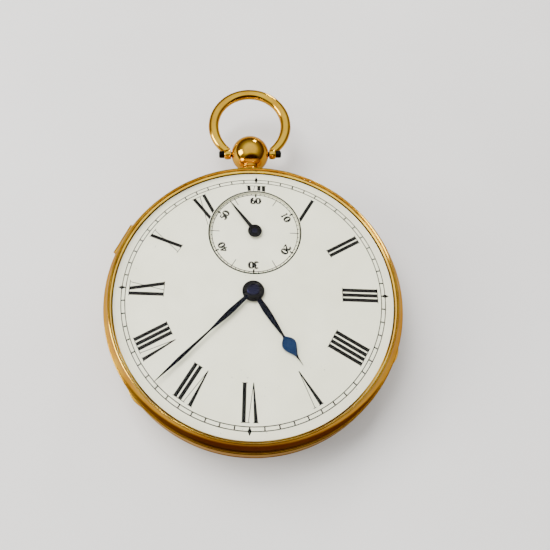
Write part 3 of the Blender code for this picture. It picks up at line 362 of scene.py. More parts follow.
def slab_mesh(outlines, z0, z1, points, faces):
    """Adds flat outlines with a thickness to points and faces."""
    base = len(points)
    flat = [p for line in outlines for p in line]
    count = len(flat)
    points += [(x, y, z0) for x, y in flat] + [(x, y, z1) for x, y in flat]
    for tri in tessellate_polygon([[Vector((x, y, 0)) for x, y in line] for line in outlines]):
        faces.append([base + i for i in tri])
        faces.append([base + count + i for i in reversed(tri)])
    first = base
    for line in outlines:
        size = len(line)
        for i in range(size):
            a, b = first + i, first + (i + 1) % size
            faces.append((a, b, count + b, count + a))
        first += size


def circle(x, y, radius, sides):
    """An outline of a round piece or hole."""
    angles = [TURN * i / sides for i in range(sides)]
    return [(x + radius * math.cos(a), y + radius * math.sin(a)) for a in angles]


def plain(points, faces):
    """A bare closed mesh, to cut with."""
    mesh = bpy.data.meshes.new("cutter")
    mesh.from_pydata([Vector(p) * MM for p in points], [], faces)
    made = bpy.data.objects.new("cutter", mesh)
    bpy.context.scene.collection.objects.link(made)
    face_out(made)
    return made


def subtract(made, cutters):
    """Cuts the cutters from a piece and removes them."""
    for cutter in cutters:
        cut = made.modifiers.new("hole", "BOOLEAN")
        cut.operation = "DIFFERENCE"
        cut.object = cutter
    bpy.context.view_layer.update()
    mesh = bpy.data.meshes.new_from_object(made.evaluated_get(bpy.context.evaluated_depsgraph_get()))
    made.modifiers.clear()
    made.data = mesh
    mesh.set_sharp_from_angle(angle=math.radians(40))
    for cutter in cutters:
        bpy.data.objects.remove(cutter)


def bevel(made, width):
    """Soft edges on a piece cut square."""
    edge = made.modifiers.new("soft edges", "BEVEL")
    edge.width = width * MM
    edge.segments = 3
    edge.limit_method = "ANGLE"
    edge.angle_limit = math.radians(40)
    edge.harden_normals = True


# ---------------------------------------------------------------- case


def rim_place(hinge):
    """Local x outward, y along the rim, on a hinge axis."""
    return Matrix.Translation(hinge) @ Matrix.Rotation(math.atan2(hinge.y, hinge.x), 4, "Z")


def knuckle(name, y0, y1, hinge, body):
    """A hinge knuckle let into the rim."""
    tube = [(BORE, y0), (KNUCKLE, y0), (KNUCKLE, y1), (BORE, y1)]
    lathe(name, tube, GOLD, body, 40, rim_place(hinge) @ Z_TO_Y)


def hinge_rooms(hinge, centre_is_own):
    """Cutter that leaves room for the other side's knuckles and for the pin."""
    narrow, wide_room = (BORE + KNUCKLE) / 2, KNUCKLE + 0.06
    inner, outer = (narrow, wide_room) if centre_is_own else (wide_room, narrow)
    half, end = KNUCKLE_HALF + 0.02, KNUCKLE_HALF + KNUCKLE_GAP + KNUCKLE_SIDE + 0.03
    profile = [(0, -end), (outer, -end), (outer, -half), (inner, -half)]
    profile += [(r, -y) for r, y in reversed(profile)]
    points, faces = lathe_mesh(profile, 40, False)
    place = rim_place(hinge) @ Z_TO_Y
    return plain([place @ Vector(p) for p in points], faces)


def hinge_set(name, hinge, cover):
    """A hinge's three knuckles and its pin: the middle knuckle rides the cover."""
    knuckle(f"{name}_knuckle_cover", -KNUCKLE_HALF, KNUCKLE_HALF, hinge, cover)
    inner = KNUCKLE_HALF + KNUCKLE_GAP
    for number, sign in ((1, -1), (2, 1)):
        y0, y1 = sorted((sign * inner, sign * (inner + KNUCKLE_SIDE)))
        knuckle(f"{name}_knuckle_case_{number}", y0, y1, hinge, "case")
    end = inner + KNUCKLE_SIDE
    pin = [(0, -end), (HINGE_PIN, -end), (HINGE_PIN, end), (0, end)]
    made = lathe(f"{name}_pin", pin, RED_GOLD, "case", 32, rim_place(hinge) @ Z_TO_Y)
    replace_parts(made, f"{name}_hinge_pin")


def case_middle():
    """The middle band with its two necks, a shelf under the movement, and the movement's hinge lugs."""
    r, neck = CASE_RADIUS, BEZEL_MOUTH + 0.4
    shelf = high_z("main_plate") - 0.94
    profile = [
        (neck - 0.1, BACK_TOP - 0.4), (neck - 0.1, BACK_TOP + SEAM), (r - CASE_EDGE, BACK_TOP + SEAM),
        (r - 0.02, BACK_TOP + 0.5), (r, (BACK_TOP + BEZEL_BASE) / 2), (r - 0.02, BEZEL_BASE - 0.5),
        (r - CASE_EDGE, BEZEL_BASE - 0.02), (neck, BEZEL_BASE - 0.02), (neck, BEZEL_BASE + 0.4),
        (BEZEL_MOUTH - 0.05, BEZEL_BASE + 0.4), (BEZEL_MOUTH - 0.05, BEZEL_BASE - 0.15),
        (DIAL_RADIUS - 0.27, BEZEL_BASE - 0.15), (DIAL_RADIUS - 0.27, shelf),
        (DIAL_RADIUS - 0.75, shelf), (DIAL_RADIUS - 0.75, BACK_TOP - 0.4),
    ]
    band = lathe("case_band", profile, GOLD, "case")
    subtract(band, [hinge_rooms(BEZEL_HINGE, False), hinge_rooms(BACK_HINGE, False)])
    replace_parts(band, "case_middle")
    inner, outer = 20.4, 21.95
    for name, sign in (("movement_hinge_lug_left", -1), ("movement_hinge_lug_right", 1)):
        near, far = sign * 0.55, sign * 1.5
        points, faces = [], []
        lug = fillet([(near, inner), (far, inner), (far, outer), (near, outer)], 0.1)
        slab_mesh([lug], 6.5, 6.96, points, faces)
        face_out(piece(name, points, faces, GOLD, "case", MOVEMENT))


def lip(name, hinge, body, z0, z1, half_width, proud):
    """A nail lip on the rim opposite a hinge, swelling out in its middle and rooted inside the rim."""
    steps, root = 24, CASE_RADIUS - 0.35
    across = [2 * i / steps - 1 for i in range(steps + 1)]
    outline = []
    for t in across:
        a = t * half_width / CASE_RADIUS
        swell = math.cos(t * math.pi / 2) ** 1.5
        r = CASE_RADIUS - CASE_EDGE + (proud + CASE_EDGE) * swell
        outline.append((r * math.cos(a), r * math.sin(a)))
    for t in reversed(across):
        a = t * half_width / CASE_RADIUS
        outline.append((root * math.cos(a), root * math.sin(a)))
    points, faces = [], []
    slab_mesh([outline], z0, z1, points, faces)
    turn = Matrix.Rotation(math.atan2(-hinge.y, -hinge.x), 4, "Z")
    made = piece(name, points, faces, GOLD, body, turn)
    face_out(made)
    bevel(made, 0.06)


def bezel():
    """The bezel: a rounded base, two fine beads, a slightly hollow cone and the groove for the glass."""
    r, base, top, mouth = CASE_RADIUS, BEZEL_BASE, BEZEL_TOP, BEZEL_MOUTH
    glass_low, glass_high = low_z("crystal"), low_z("crystal") + GLASS_EDGE
    outside = [
        (mouth + 0.45, base + SEAM), (r - CASE_EDGE, base + SEAM), (r - 0.01, base + 0.14), (r, base + 0.36),
    ]
    for bead in range(2):
        z = base + 0.5 + 0.2 * bead
        out = r - 0.03 - 0.09 * bead
        outside += [(out - 0.08, z - 0.03), (out, z + 0.04), (out, z + 0.1), (out - 0.08, z + 0.17)]
    shoulder, brow = Vector((r - 0.2, base + 1.02)), Vector((mouth + 0.2, top - 0.05))
    steps = 8
    for i in range(steps + 1):
        sag = 0.1 * math.sin(math.pi * i / steps)
        outside.append(tuple(shoulder.lerp(brow, i / steps) - Vector((sag, sag))))
    inside = [
        (mouth + 0.1, top), (mouth, top - 0.08), (mouth, glass_high + 0.04),
        (mouth + 0.2, glass_high + 0.04), (mouth + 0.2, glass_low - 0.04), (mouth, glass_low - 0.04),
        (DIAL_RADIUS + 0.2, DIAL_TOP + 0.12), (DIAL_RADIUS + 0.24, DIAL_TOP + 0.04),
        (mouth, DIAL_TOP + 0.02), (mouth, base + 0.45), (mouth + 0.45, base + 0.45),
    ]
    made = lathe("bezel_ring", outside + inside, GOLD, "bezel", 256, round_to=0.03)
    subtract(made, [hinge_rooms(BEZEL_HINGE, True)])
    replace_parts(made, "bezel")
    # A dark ring lining the bezel's inner wall from the dial up to the glass: painted shade in the gap round
    # the dial.
    seat_in, seat_out, seat_low, seat_high = mouth - 0.06, mouth + 0.03, DIAL_TOP + 0.04, glass_low - 0.06
    seat = [(seat_in, seat_low), (seat_out, seat_low), (seat_out, seat_high), (seat_in, seat_high)]
    lathe("bezel_seat_painted_shade", seat, SHADED_SEAT_GOLD, "bezel", 256, round_to=0.02)
    lip("bezel_lip", BEZEL_HINGE, "bezel", base + 0.1, base + 0.42, 2.0, 0.2)
    hinge_set("bezel", BEZEL_HINGE, "bezel")


def glass():
    """The domed glass, a little thinner toward its edge."""
    low, top = low_z("crystal"), high_z("crystal")
    edge_top = low + GLASS_EDGE
    rise = top - edge_top
    dome_radius, spread, steps = 21.5, 22.6, 24
    outer, under = [], []
    for i in range(steps + 1):
        r = dome_radius * i / steps
        share = (1 - (r / spread) ** 2) ** 0.9
        z = edge_top + rise * share
        outer.append((r, z))
        under.append((r, max(z - GLASS_WALL * (0.75 + 0.25 * share), low)))
    profile = outer + [(GLASS_RADIUS, edge_top), (GLASS_RADIUS, low)] + under[::-1]
    made = lathe("watch_glass", profile, GLASS, "bezel", SEGMENTS, loop=False, round_to=0.03)
    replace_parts(made, "crystal")


def dish(start, reach, low, rise):
    """A soft curve of (radius, z) that leaves a flat and ends upright, reach farther out and rise higher."""
    steps = 20
    angles = [math.pi / 2 * i / steps for i in range(steps + 1)]
    return [(start + reach * math.sin(a) ** 0.86, low + rise * (1 - math.cos(a)) ** 1.12) for a in angles]


def back():
    """The back cover: a flat centre, a dished wall and a fine bead at the rim."""
    r, top, wall = CASE_RADIUS, BACK_TOP, BEZEL_MOUTH + 0.35
    outside = [(0, 0), (BACK_FLAT, 0)] + dish(11.9, r - 12.05, 0, 3.3)
    rim = [
        (r - 0.1, 3.32), (r - 0.02, 3.42), (r - 0.02, 3.62), (r - 0.1, 3.7),
        (r - 0.1, top - SEAM), (wall, top - SEAM),
    ]
    inside = dish(11.7, wall - 11.7, BACK_WALL, 2.9)[::-1] + [(BACK_FLAT, BACK_WALL), (0, BACK_WALL)]
    profile = outside + rim + inside
    made = lathe("back_shell", profile, GOLD, "back_cover", SEGMENTS, loop=False, round_to=0.05)
    subtract(made, [hinge_rooms(BACK_HINGE, True)])
    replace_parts(made, "back_cover")
    lip("back_lip", BACK_HINGE, "back_cover", top - 0.5, top - 0.1, 2.4, 0.26)
    hinge_set("back", BACK_HINGE, "back_cover")


def inner_dome():
    """The fixed dome, with the winding and setting holes and a turned border round each."""
    rim, low, top = wide("inner_dome"), 0.85, 4.6
    outside = [(0, low), (12, low), (17.2, 1.4), (19.8, 2.5), (rim, 3.4), (rim, top)]
    inside = [
        (rim - DOME_WALL, top), (rim - DOME_WALL, 3.5), (19.4, 2.8), (17.0, 1.75),
        (11.8, low + DOME_WALL), (0, low + DOME_WALL),
    ]
    made = lathe("dome", outside + inside, GOLD, "case", 128, loop=False, round_to=1.5)
    cutters = []
    for name in ("centre_turn", "winding_turn"):
        x, y, _ = joint_place(name)
        points, faces = [], []
        slab_mesh([circle(x, y, KEY_HOLE, 48)], 0.4, 1.8, points, faces)
        cutters.append(plain(points, faces))
        ring = [(1.32, 0.8), (1.75, 0.8), (1.75, 0.9), (1.32, 0.9)]
        place = Matrix.Translation((x, y, 0))
        lathe(f"key_hole_rim_{name.split('_')[0]}", ring, GOLD, "case", 48, place, 0.03)
    subtract(made, cutters)
    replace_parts(made, "inner_dome")


def pendant():
    """The ball, bored for the bow's screw, and the ringed neck that it stands on."""
    x, y, z = BOW_PIVOT
    steps = 48
    first = math.asin(BALL_BORE / BALL)
    angles = [first + (math.pi - 2 * first) * i / steps for i in range(steps + 1)]
    arc = [(BALL * math.sin(a), -BALL * math.cos(a)) for a in angles]
    ball = arc + [(BALL_BORE, arc[-1][1] - 0.5), (BALL_BORE, arc[0][1] + 0.5)]
    across = Matrix.Translation(BOW_PIVOT) @ Z_TO_X
    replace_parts(lathe("pendant_ball", ball, GOLD, "case", 96, across, 0.03), "pendant")
    start = CASE_RADIUS - y + 0.15
    neck = [
        (0, start - 0.8), (1.01, start - 0.8), (1.01, start - 0.02), (1.72, start), (1.86, start + 0.12),
        (1.8, start + 0.32), (1.42, start + 0.42), (1.34, start + 0.54), (1.44, start + 0.64),
        (1.66, start + 0.72), (1.68, start + 0.94), (1.5, start + 1.06), (1.4, start + 1.5), (0, start + 1.5),
    ]
    along = Matrix.Translation((x, y, z + 0.1)) @ Z_TO_Y
    lathe("pendant_neck", neck, GOLD, "case", 64, along, 0.06)


def bow():
    """The bow: an oval wire that thins toward its ends and runs into two eyes, and its slotted screw."""
    steps, ring = 128, 28
    start = math.asin((EYE_IN + EYE_OUT) / 2 / BOW_RADIUS)
    points, faces = [], []
    for i in range(steps + 1):
        t = i / steps
        a = start + (TURN - 2 * start) * t
        near = min(1.0, 6 * min(t, 1 - t))
        grow = TAPER + (1 - TAPER) * math.sin(near * math.pi / 2)
        out = Vector((math.sin(a), -math.cos(a), 0))
        centre = Vector((0, BOW_OFFSET, 0)) + out * BOW_RADIUS
        for k in range(ring):
            b = TURN * k / ring
            radial = WIRE * grow * math.copysign(abs(math.cos(b)) ** 0.92, math.cos(b))
            deep = WIRE_DEPTH * grow * math.copysign(abs(math.sin(b)) ** 0.92, math.sin(b))
            points.append(centre + out * radial + Vector((0, 0, deep)))
    for i in range(steps):
        for k in range(ring):
            j = (k + 1) % ring
            faces.append((i * ring + k, i * ring + j, (i + 1) * ring + j, (i + 1) * ring + k))
    faces.append(tuple(range(ring)))
    faces.append(tuple(steps * ring + k for k in range(ring)))
    tilt = Matrix.Translation(BOW_PIVOT) @ Matrix.Rotation(BOW_TILT, 4, "X")
    wire = piece("bow_wire", points, faces, GOLD, "bow", tilt)
    face_out(wire)
    room = [(0, -7), (0.76, -7), (0.76, -EYE_OUT + 0.05), (0.52, -EYE_OUT + 0.05)]
    room += [(r, -z) for r, z in reversed(room)]
    holes, hole_faces = lathe_mesh(room, 40, False)
    across = tilt @ Z_TO_X
    subtract(wire, [plain([across @ Vector(p) for p in holes], hole_faces)])
    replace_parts(wire, "bow")
    for name, low, high in (("bow_eye_right", EYE_IN, EYE_OUT), ("bow_eye_left", -EYE_OUT, -EYE_IN)):
        eye = [(0.5, low), (EYE - 0.18, low), (EYE, (low + high) / 2), (EYE - 0.18, high), (0.5, high)]
        lathe(name, eye, GOLD, "bow", 48, across, 0.4)
    head, end = EYE_OUT + 0.04, SCREW_HALF
    half = [(0.45, head - 0.01), (0.62, head), (0.66, head + 0.1), (0.66, end - 0.2), (0.52, end), (0, end)]
    screw = [(r, -z) for r, z in reversed(half)] + half
    still = Matrix.Translation(BOW_PIVOT) @ Z_TO_X
    made = lathe("bow_screw_rod", screw, DARK_STEEL, "case", 40, still, 0.06, loop=False)
    slot, bottom, beyond = [(-1, -0.1), (1, -0.1), (1, 0.1), (-1, 0.1)], end - 0.16, 8
    slots = []
    for low, high in ((-beyond, -bottom), (bottom, beyond)):
        points, faces = [], []
        slab_mesh([slot], low, high, points, faces)
        slots.append(plain([still @ Vector(p) for p in points], faces))
    subtract(made, slots)
    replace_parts(made, "bow_screw")


# ---------------------------------------------------------------- dial


def dial_plate():
    """The enamel plate with its three feet, and the sunk seconds dial that shows through its round hole."""
    low = DIAL_TOP - DIAL_THICKNESS
    rim = circle(0, 0, DIAL_RADIUS, SEGMENTS)
    holes = [circle(0, SECONDS_DISTANCE, OPENING, 128), circle(0, 0, 1.0, 48)]
    points, faces = [], []
    slab_mesh([rim] + holes, low, DIAL_TOP, points, faces)
    made = piece("dial_plate", points, faces, ENAMEL, "case", MOVEMENT)
    face_out(made)
    edge = made.modifiers.new("fired edge", "BEVEL")
    edge.width = 0.16 * MM
    edge.segments = 5
    edge.limit_method = "ANGLE"
    edge.angle_limit = math.radians(60)
    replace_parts(made, "dial")
    foot = [(0, low - 1.6), (0.5, low - 1.6), (0.5, low), (0, low)]
    for number, (x, y) in enumerate(((-14.5, 11.5), (16.8, 9.5), (2.0, -19.0))):
        place = MOVEMENT @ Matrix.Translation((x, y, 0))
        lathe(f"dial_foot_{number + 1}", foot, GILT, "case", 24, place)
    inner, flange, step = 0.35, OPENING + 0.5, OPENING - 0.05
    sunk = [
        (inner, low - 0.25), (flange, low - 0.25), (flange, low - 0.04),
        (step, low - 0.04), (step, SUNK_TOP), (inner, SUNK_TOP),
    ]
    made = lathe("sunk_seconds_dial", sunk, ENAMEL, "case", 128, AT_FOURTH, 0.04)
    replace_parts(made, "seconds_dial")


class Print:
    """Black print on a dial, collected as thin raised shapes."""

    def __init__(self, z):
        self.z, self.points, self.faces = z, [], []

    def shape(self, outlines):
        """A raised patch of print."""
        slab_mesh(outlines, self.z, self.z + PRINT, self.points, self.faces)

    def ring(self, inner, outer, sides=SEGMENTS):
        """A printed line all round."""
        for i in range(sides):
            a, b = TURN * i / sides, TURN * (i + 1) / sides
            base = len(self.points)
            for r, t in ((inner, a), (outer, a), (outer, b), (inner, b)):
                self.points.append((r * math.cos(t), r * math.sin(t), self.z + PRINT))
            self.faces.append((base, base + 1, base + 2, base + 3))

    def radial(self, clockwise, r0, r1, width):
        """A tick along a radius."""
        half = width / 2
        corners = [(r0, -half), (r1, -half), (r1, half), (r0, half)]
        self.shape([[self.polar(clockwise, r, side) for r, side in corners]])

    @staticmethod
    def polar(clockwise, r, side):
        """A point at radius r on a clockwise angle, side to its right."""
        a = math.radians(90 - clockwise)
        return (r * math.cos(a) + side * math.sin(a), r * math.sin(a) - side * math.cos(a))

    def stroke(self, line, widths, clockwise, r, scale):
        """A pen stroke through the points of a scaled glyph, with a width at each one."""
        for i in range(len(line) - 1):
            a, b = Vector(line[i]), Vector(line[i + 1])
            across = (b - a).normalized()
            across = Vector((-across.y, across.x))
            wa, wb = widths[i] / 2, widths[i + 1] / 2
            quad = [a - across * wa, b - across * wb, b + across * wb, a + across * wa]
            self.shape([[self.polar(clockwise, r + p.y * scale, p.x * scale) for p in quad]])

    def finish(self, name, body, place):
        """The collected print as one piece."""
        return piece(name, self.points, self.faces, BLACK, body, place)


HEAVY, HAIR, SERIF, STROKE_GAP = 0.56, 0.1, 0.1, 0.22
ROMANS = ("XII", "I", "II", "III", "IIII", "V", "VI", "VII", "VIII", "IX", "X", "XI")
LETTER_WIDTH = {"I": HEAVY, "V": 1.5, "X": 1.55}
NUMERAL_FOOT, NUMERAL_HEAD = 0.665 * DIAL_UNIT, 0.93 * DIAL_UNIT
NUMERAL_CLEAR = OPENING + 0.34


def clear_of_seconds(corners):
    """The part of a stroke outside the seconds dial, cut along the tangent where the stroke meets it."""
    centre = Vector((0, SECONDS_DISTANCE))
    points = [Vector(corner) for corner in corners]
    ends = [(points[0] + points[1]) / 2, (points[2] + points[3]) / 2]
    outside = [(end - centre).length > NUMERAL_CLEAR for end in ends]
    if all(outside):
        return corners
    if not any(outside):
        return []
    inner, outer = ends if outside[1] else ends[::-1]
    for _ in range(20):
        middle = (inner + outer) / 2
        if (middle - centre).length > NUMERAL_CLEAR:
            outer = middle
        else:
            inner = middle
    away = (outer - centre).normalized()
    kept = []
    for a, b in zip(points, points[1:] + points[:1]):
        side_a, side_b = ((p - centre).dot(away) - NUMERAL_CLEAR for p in (a, b))
        if side_a >= 0:
            kept.append(tuple(a))
        if side_a * side_b < 0:
            kept.append(tuple(a + (b - a) * (side_a / (side_a - side_b))))
    return kept


def numeral(ink, text, clockwise):
    """A Roman numeral with its feet to the centre, heavy and hair strokes and fine serifs."""
    height = NUMERAL_HEAD - NUMERAL_FOOT
    width = sum(LETTER_WIDTH[c] for c in text) + STROKE_GAP * (len(text) - 1)
    x = -width / 2

    def bar(x0, y0, x1, y1, thick, foot=None):
        """A stroke whose ends lie level, kept clear of the seconds dial. Its foot may be thinner."""
        low, high = (foot or thick) / 2, thick / 2
        quad = [(x0 - low, y0), (x0 + low, y0), (x1 + high, y1), (x1 - high, y1)]
        corners = clear_of_seconds([ink.polar(clockwise, NUMERAL_FOOT + py, px) for px, py in quad])
        if len(corners) > 2:
            ink.shape([corners])

    def serif(x0, x1, y):
        """A short level line across a stroke's end."""
        bar((x0 + x1) / 2, y, (x0 + x1) / 2, y + SERIF, x1 - x0)

    for letter in text:
        w = LETTER_WIDTH[letter]
        if letter == "I":
            bar(x + w / 2, 0, x + w / 2, height, HEAVY)
            serif(x - 0.13, x + w + 0.13, 0)
            serif(x - 0.13, x + w + 0.13, height - SERIF)
        elif letter == "V":
            bar(x + w / 2, 0, x + HEAVY / 2, height, HEAVY, 0.16)
            bar(x + w / 2, 0, x + w - 0.15, height, HAIR)
            serif(x - 0.1, x + HEAVY + 0.12, height - SERIF)
            serif(x + w - 0.35, x + w + 0.1, height - SERIF)
        else:
            bar(x + w - HEAVY / 2, 0, x + HEAVY / 2, height, HEAVY)
            bar(x + 0.18, 0, x + w - 0.18, height, HAIR)
            for y in (0, height - SERIF):
                serif(x - 0.1, x + w + 0.1, y)
        x += w + STROKE_GAP


def dial_print():
    """The minute track, the lozenges at the quarters, the numerals, and a black ring round the seconds dial's
    opening that is painted shade at the sunk dial's step.
    """
    ink = Print(DIAL_TOP)
    for r in (TRACK_IN, TRACK_OUT):
        ink.ring(r - 0.07, r + 0.07)
    for minute in range(60):
        ink.radial(6 * minute, TRACK_IN, TRACK_OUT, 0.2)
    for hour in range(0, 12, 3):
        inner, outer, half = 0.953 * DIAL_UNIT, 1.013 * DIAL_UNIT, 0.3
        middle = (inner + outer) / 2
        corners = [(inner, 0), (middle, half), (outer, 0), (middle, -half)]
        ink.shape([[ink.polar(30 * hour, r, s) for r, s in corners]])
    for hour in range(12):
        numeral(ink, ROMANS[hour], 30 * hour)
    ink.finish("dial_print", "case", MOVEMENT)

    # painted shade: a black ring on the dial round the sunk seconds opening, where the step's wall is in
    # shade
    edge = Print(DIAL_TOP)
    edge.ring(OPENING + 0.02, OPENING + 0.26, sides=128)
    edge.finish("seconds_step_painted_shade", "case", AT_FOURTH)


THIN, THICK, STEM = 0.17, 0.36, 0.2  # pen widths of the digits


def arc_points(x, y, rx, ry, a0, a1):
    """Eleven points of an elliptical arc between two angles in degrees."""
    steps = 10
    angles = [math.radians(a0 + (a1 - a0) * i / steps) for i in range(steps + 1)]
    return [(x + rx * math.cos(a), y + ry * math.sin(a)) for a in angles]


def swelling(line):
    """A stroke through the line, thin at both ends and thick in the middle."""
    last = len(line) - 1
    return line, [THIN + (THICK - THIN) * math.sin(math.pi * i / last) for i in range(len(line))]


def even(start, end, width):
    """A straight stroke of one width."""
    return [start, end], [width, width]


def digit_strokes(digit):
    """Strokes of a small old-style digit one unit high, centred on x, each as its points and its widths."""
    if digit == "0":
        right, left = arc_points(0, 0.5, 0.3, 0.46, -90, 90), arc_points(0, 0.5, 0.3, 0.46, 90, 270)
        return [swelling(right), swelling(left)]
    if digit == "1":
        return [
            even((0, 0), (0, 1), STEM),
            even((-0.16, 0.03), (0.16, 0.03), THIN),
            even((-0.16, 0.85), (0, 0.97), THIN),
        ]
    if digit == "2":
        top = arc_points(0, 0.7, 0.26, 0.26, 170, -40)
        return [swelling(top + [(-0.28, 0.06)]), ([(-0.28, 0.08), (0.3, 0.08)], [0.16, 0.12])]
    if digit == "3":
        upper, lower = arc_points(0, 0.74, 0.24, 0.22, 150, -90), arc_points(0, 0.28, 0.28, 0.26, 90, -150)
        return [swelling(upper), swelling(lower)]
    if digit == "4":
        return [
            even((0.12, 0), (0.12, 1), STEM),
            even((0.12, 0.97), (-0.3, 0.3), THIN),
            even((-0.32, 0.3), (0.32, 0.3), THIN),
        ]
    if digit == "5":
        return [
            even((-0.18, 0.55), (-0.12, 0.96), THIN),
            even((-0.14, 0.92), (0.26, 0.92), 0.14),
            swelling(arc_points(0, 0.3, 0.28, 0.28, 120, -150)),
        ]
    right, left = arc_points(0, 0.28, 0.27, 0.26, -90, 90), arc_points(0, 0.28, 0.27, 0.26, 90, 270)
    return [swelling(arc_points(0.12, 0.4, 0.4, 0.56, 95, 190)), swelling(right), swelling(left)]


def seconds_print():
    """The seconds track, with longer marks at the fives and tens, and the tens in digits."""
    ink = Print(SUNK_TOP)
    track = OPENING - 0.33
    ink.ring(track - 0.06, track + 0.06, sides=128)
    for second in range(60):
        ink.radial(6 * second, track, OPENING - 0.12, 0.13)
        if second % 10 == 0:
            ink.radial(6 * second, track - 0.42, OPENING - 0.12, 0.26)
        elif second % 5 == 0:
            ink.radial(6 * second, track - 1.25, track, 0.12)
    for tens in range(6):
        for digit, x in ((str(tens or 6), -0.37), ("0", 0.37)):
            for line, widths in digit_strokes(digit):
                shifted = [(px + x, py - 0.5) for px, py in line]
                ink.stroke(shifted, widths, 60 * tens, track - 1.12, 1.15)
    ink.finish("seconds_print", "case", AT_FOURTH)


# ---------------------------------------------------------------- hands


def smooth_stations(stations):
    """Catmull-Rom through (distance, half width) stations."""
    steps = 8
    padded = [stations[0]] + list(stations) + [stations[-1]]
    found = []
    for i in range(1, len(padded) - 2):
        p0, p1, p2, p3 = (Vector(padded[k]) for k in (i - 1, i, i + 1, i + 2))
        for k in range(steps):
            t = k / steps
            square, cube = 2 * p0 - 5 * p1 + 4 * p2 - p3, 3 * p1 - p0 - 3 * p2 + p3
            point = 0.5 * (2 * p1 + (p2 - p0) * t + square * t * t + cube * t ** 3)
            found.append((point.x, max(point.y, 0.02)))
    return found + [stations[-1]]


def blade(name, body, stations, z, thick, clockwise, place, lit_span=None, look=None):
    """A hand with a domed top: a low arch at each station. By default it takes a darker copy of the blued
    steel, painted shade; between two distances it may keep the lighter blued steel, so that part looks lit.
    """
    rise = [(-1, 0.0), (-1, 0.35), (-0.8, 0.72), (-0.42, 0.94)]
    arch = rise + [(0, 1.0)] + [(-side, height) for side, height in reversed(rise)]
    points, faces = [], []
    line = smooth_stations(stations)
    for y, half in line:
        points += [(half * sx, y, z + thick * sz) for sx, sz in arch]
    row = len(arch)
    for i in range(len(line) - 1):
        for k in range(row):
            j = (k + 1) % row
            faces.append((i * row + k, i * row + j, (i + 1) * row + j, (i + 1) * row + k))
    faces.append(tuple(range(row)))
    faces.append(tuple((len(line) - 1) * row + k for k in range(row)))
    turn = place @ Matrix.Rotation(-math.radians(clockwise), 4, "Z")
    made = piece(name, points, faces, look or SHADED_BLUED, body, turn, 60)
    # between two distances the lighter blued steel, elsewhere the painted shade
    if lit_span:
        made.data.materials.append(BLUED)
        for i in range(len(line) - 1):
            if lit_span[0] <= line[i][0] <= lit_span[1]:
                for face in made.data.polygons[i * row:(i + 1) * row]:
                    face.material_index = 1
    face_out(made)
    return made


def hands():
    """The three blued hands with their hubs, and the domed boss over the centre with its square below."""
    hour_z, minute_z = low_z("hour_hand"), low_z("minute_hand")
    hour = [
        (0.9, 0.34), (1.6, 0.37), (3.4, 0.5), (5.4, 0.42), (7.2, 0.26), (8.2, 0.18), (8.55, 0.32),
        (9.0, 0.78), (9.6, 1.08), (10.2, 0.98), (10.9, 0.6), (11.5, 0.26), (12.2, 0.11), (13.3, 0.03),
    ]
    # the spade keeps the lighter blued steel, the rest of the blade takes the painted shade
    made = blade("hour_hand_blade", "hour", hour, hour_z + 0.05, 0.16, HOUR_ANGLE, MOVEMENT, (8.5, 11.6))
    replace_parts(made, "hour_hand")
    hub = [
        (0.88, hour_z), (1.62, hour_z), (1.7, hour_z + 0.06), (1.7, hour_z + 0.2),
        (1.58, hour_z + 0.27), (1.35, hour_z + 0.22), (0.88, hour_z + 0.24),
    ]
    lathe("hour_hand_hub", hub, DARK_STEEL, "hour", 96, MOVEMENT, 0.03)

    minute = [
        (0.7, 0.24), (2.2, 0.33), (4.8, 0.42), (6.6, 0.33), (8.6, 0.17), (9.6, 0.15), (12.0, 0.2),
        (14.6, 0.27), (16.8, 0.19), (18.6, 0.1), (19.8, 0.03),
    ]
    made = blade("minute_hand_blade", "centre", minute, minute_z + 0.03, 0.14, MINUTE_ANGLE, MOVEMENT)
    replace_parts(made, "minute_hand")
    hub = [
        (0.61, minute_z), (1.2, minute_z), (1.3, minute_z + 0.05),
        (1.3, minute_z + 0.15), (1.2, minute_z + 0.2), (0.61, minute_z + 0.21),
    ]
    lathe("minute_hand_hub", hub, DARK_STEEL, "centre", 96, MOVEMENT, 0.03)

    low = low_z("seconds_hand")
    second_z = low + 0.1
    seconds = [(0.4, 0.34), (2.4, 0.28), (4.6, 0.2), (6.75, 0.07)]
    place, look = AT_FOURTH, DARK_STEEL
    made = blade("seconds_hand_blade", "fourth", seconds, second_z, 0.1, SECONDS_ANGLE, place, look=look)
    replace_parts(made, "seconds_hand")
    hub = [
        (0.17, low), (1.0, low), (1.12, low + 0.06), (1.15, second_z), (1.1, second_z + 0.09),
        (0.85, second_z + 0.12), (0.62, second_z + 0.1), (0.17, second_z + 0.1),
    ]
    lathe("seconds_hand_hub", hub, DARK_STEEL, "fourth", 64, AT_FOURTH, 0.03)
    pip = [
        (0, second_z + 0.05), (0.5, second_z + 0.08), (0.42, second_z + 0.15),
        (0.2, second_z + 0.18), (0, second_z + 0.19),
    ]
    lathe("seconds_pip", pip, DOME_STEEL, "fourth", 48, AT_FOURTH, 0.03)

    top = high_z("setting_arbor")
    steps, under, foot = 12, top - BOSS_HEIGHT - 0.03, 1.95
    angles = [math.pi / 2 * i / steps for i in range(steps + 1)]
    dome = [(BOSS_RADIUS * math.sin(a), top - BOSS_HEIGHT + BOSS_HEIGHT * math.cos(a)) for a in angles]
    shaft = dome + [(BOSS_RADIUS, under), (0.3, under), (0.3, foot), (0, foot)]
    look, slot = DOME_STEEL, "blued_steel"
    made = lathe("setting_arbor_dome", shaft, look, "centre", 64, MOVEMENT, 0.01, loop=False)
    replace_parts(made, "setting_arbor")
    points, faces, half = [], [], 0.42
    slab_mesh([[(-half, -half), (half, -half), (half, half), (-half, half)]], 1.3, 2.05, points, faces)
    square = piece("setting_square", points, faces, BLUED, "centre", MOVEMENT)
    face_out(square)
    bevel(square, 0.05)


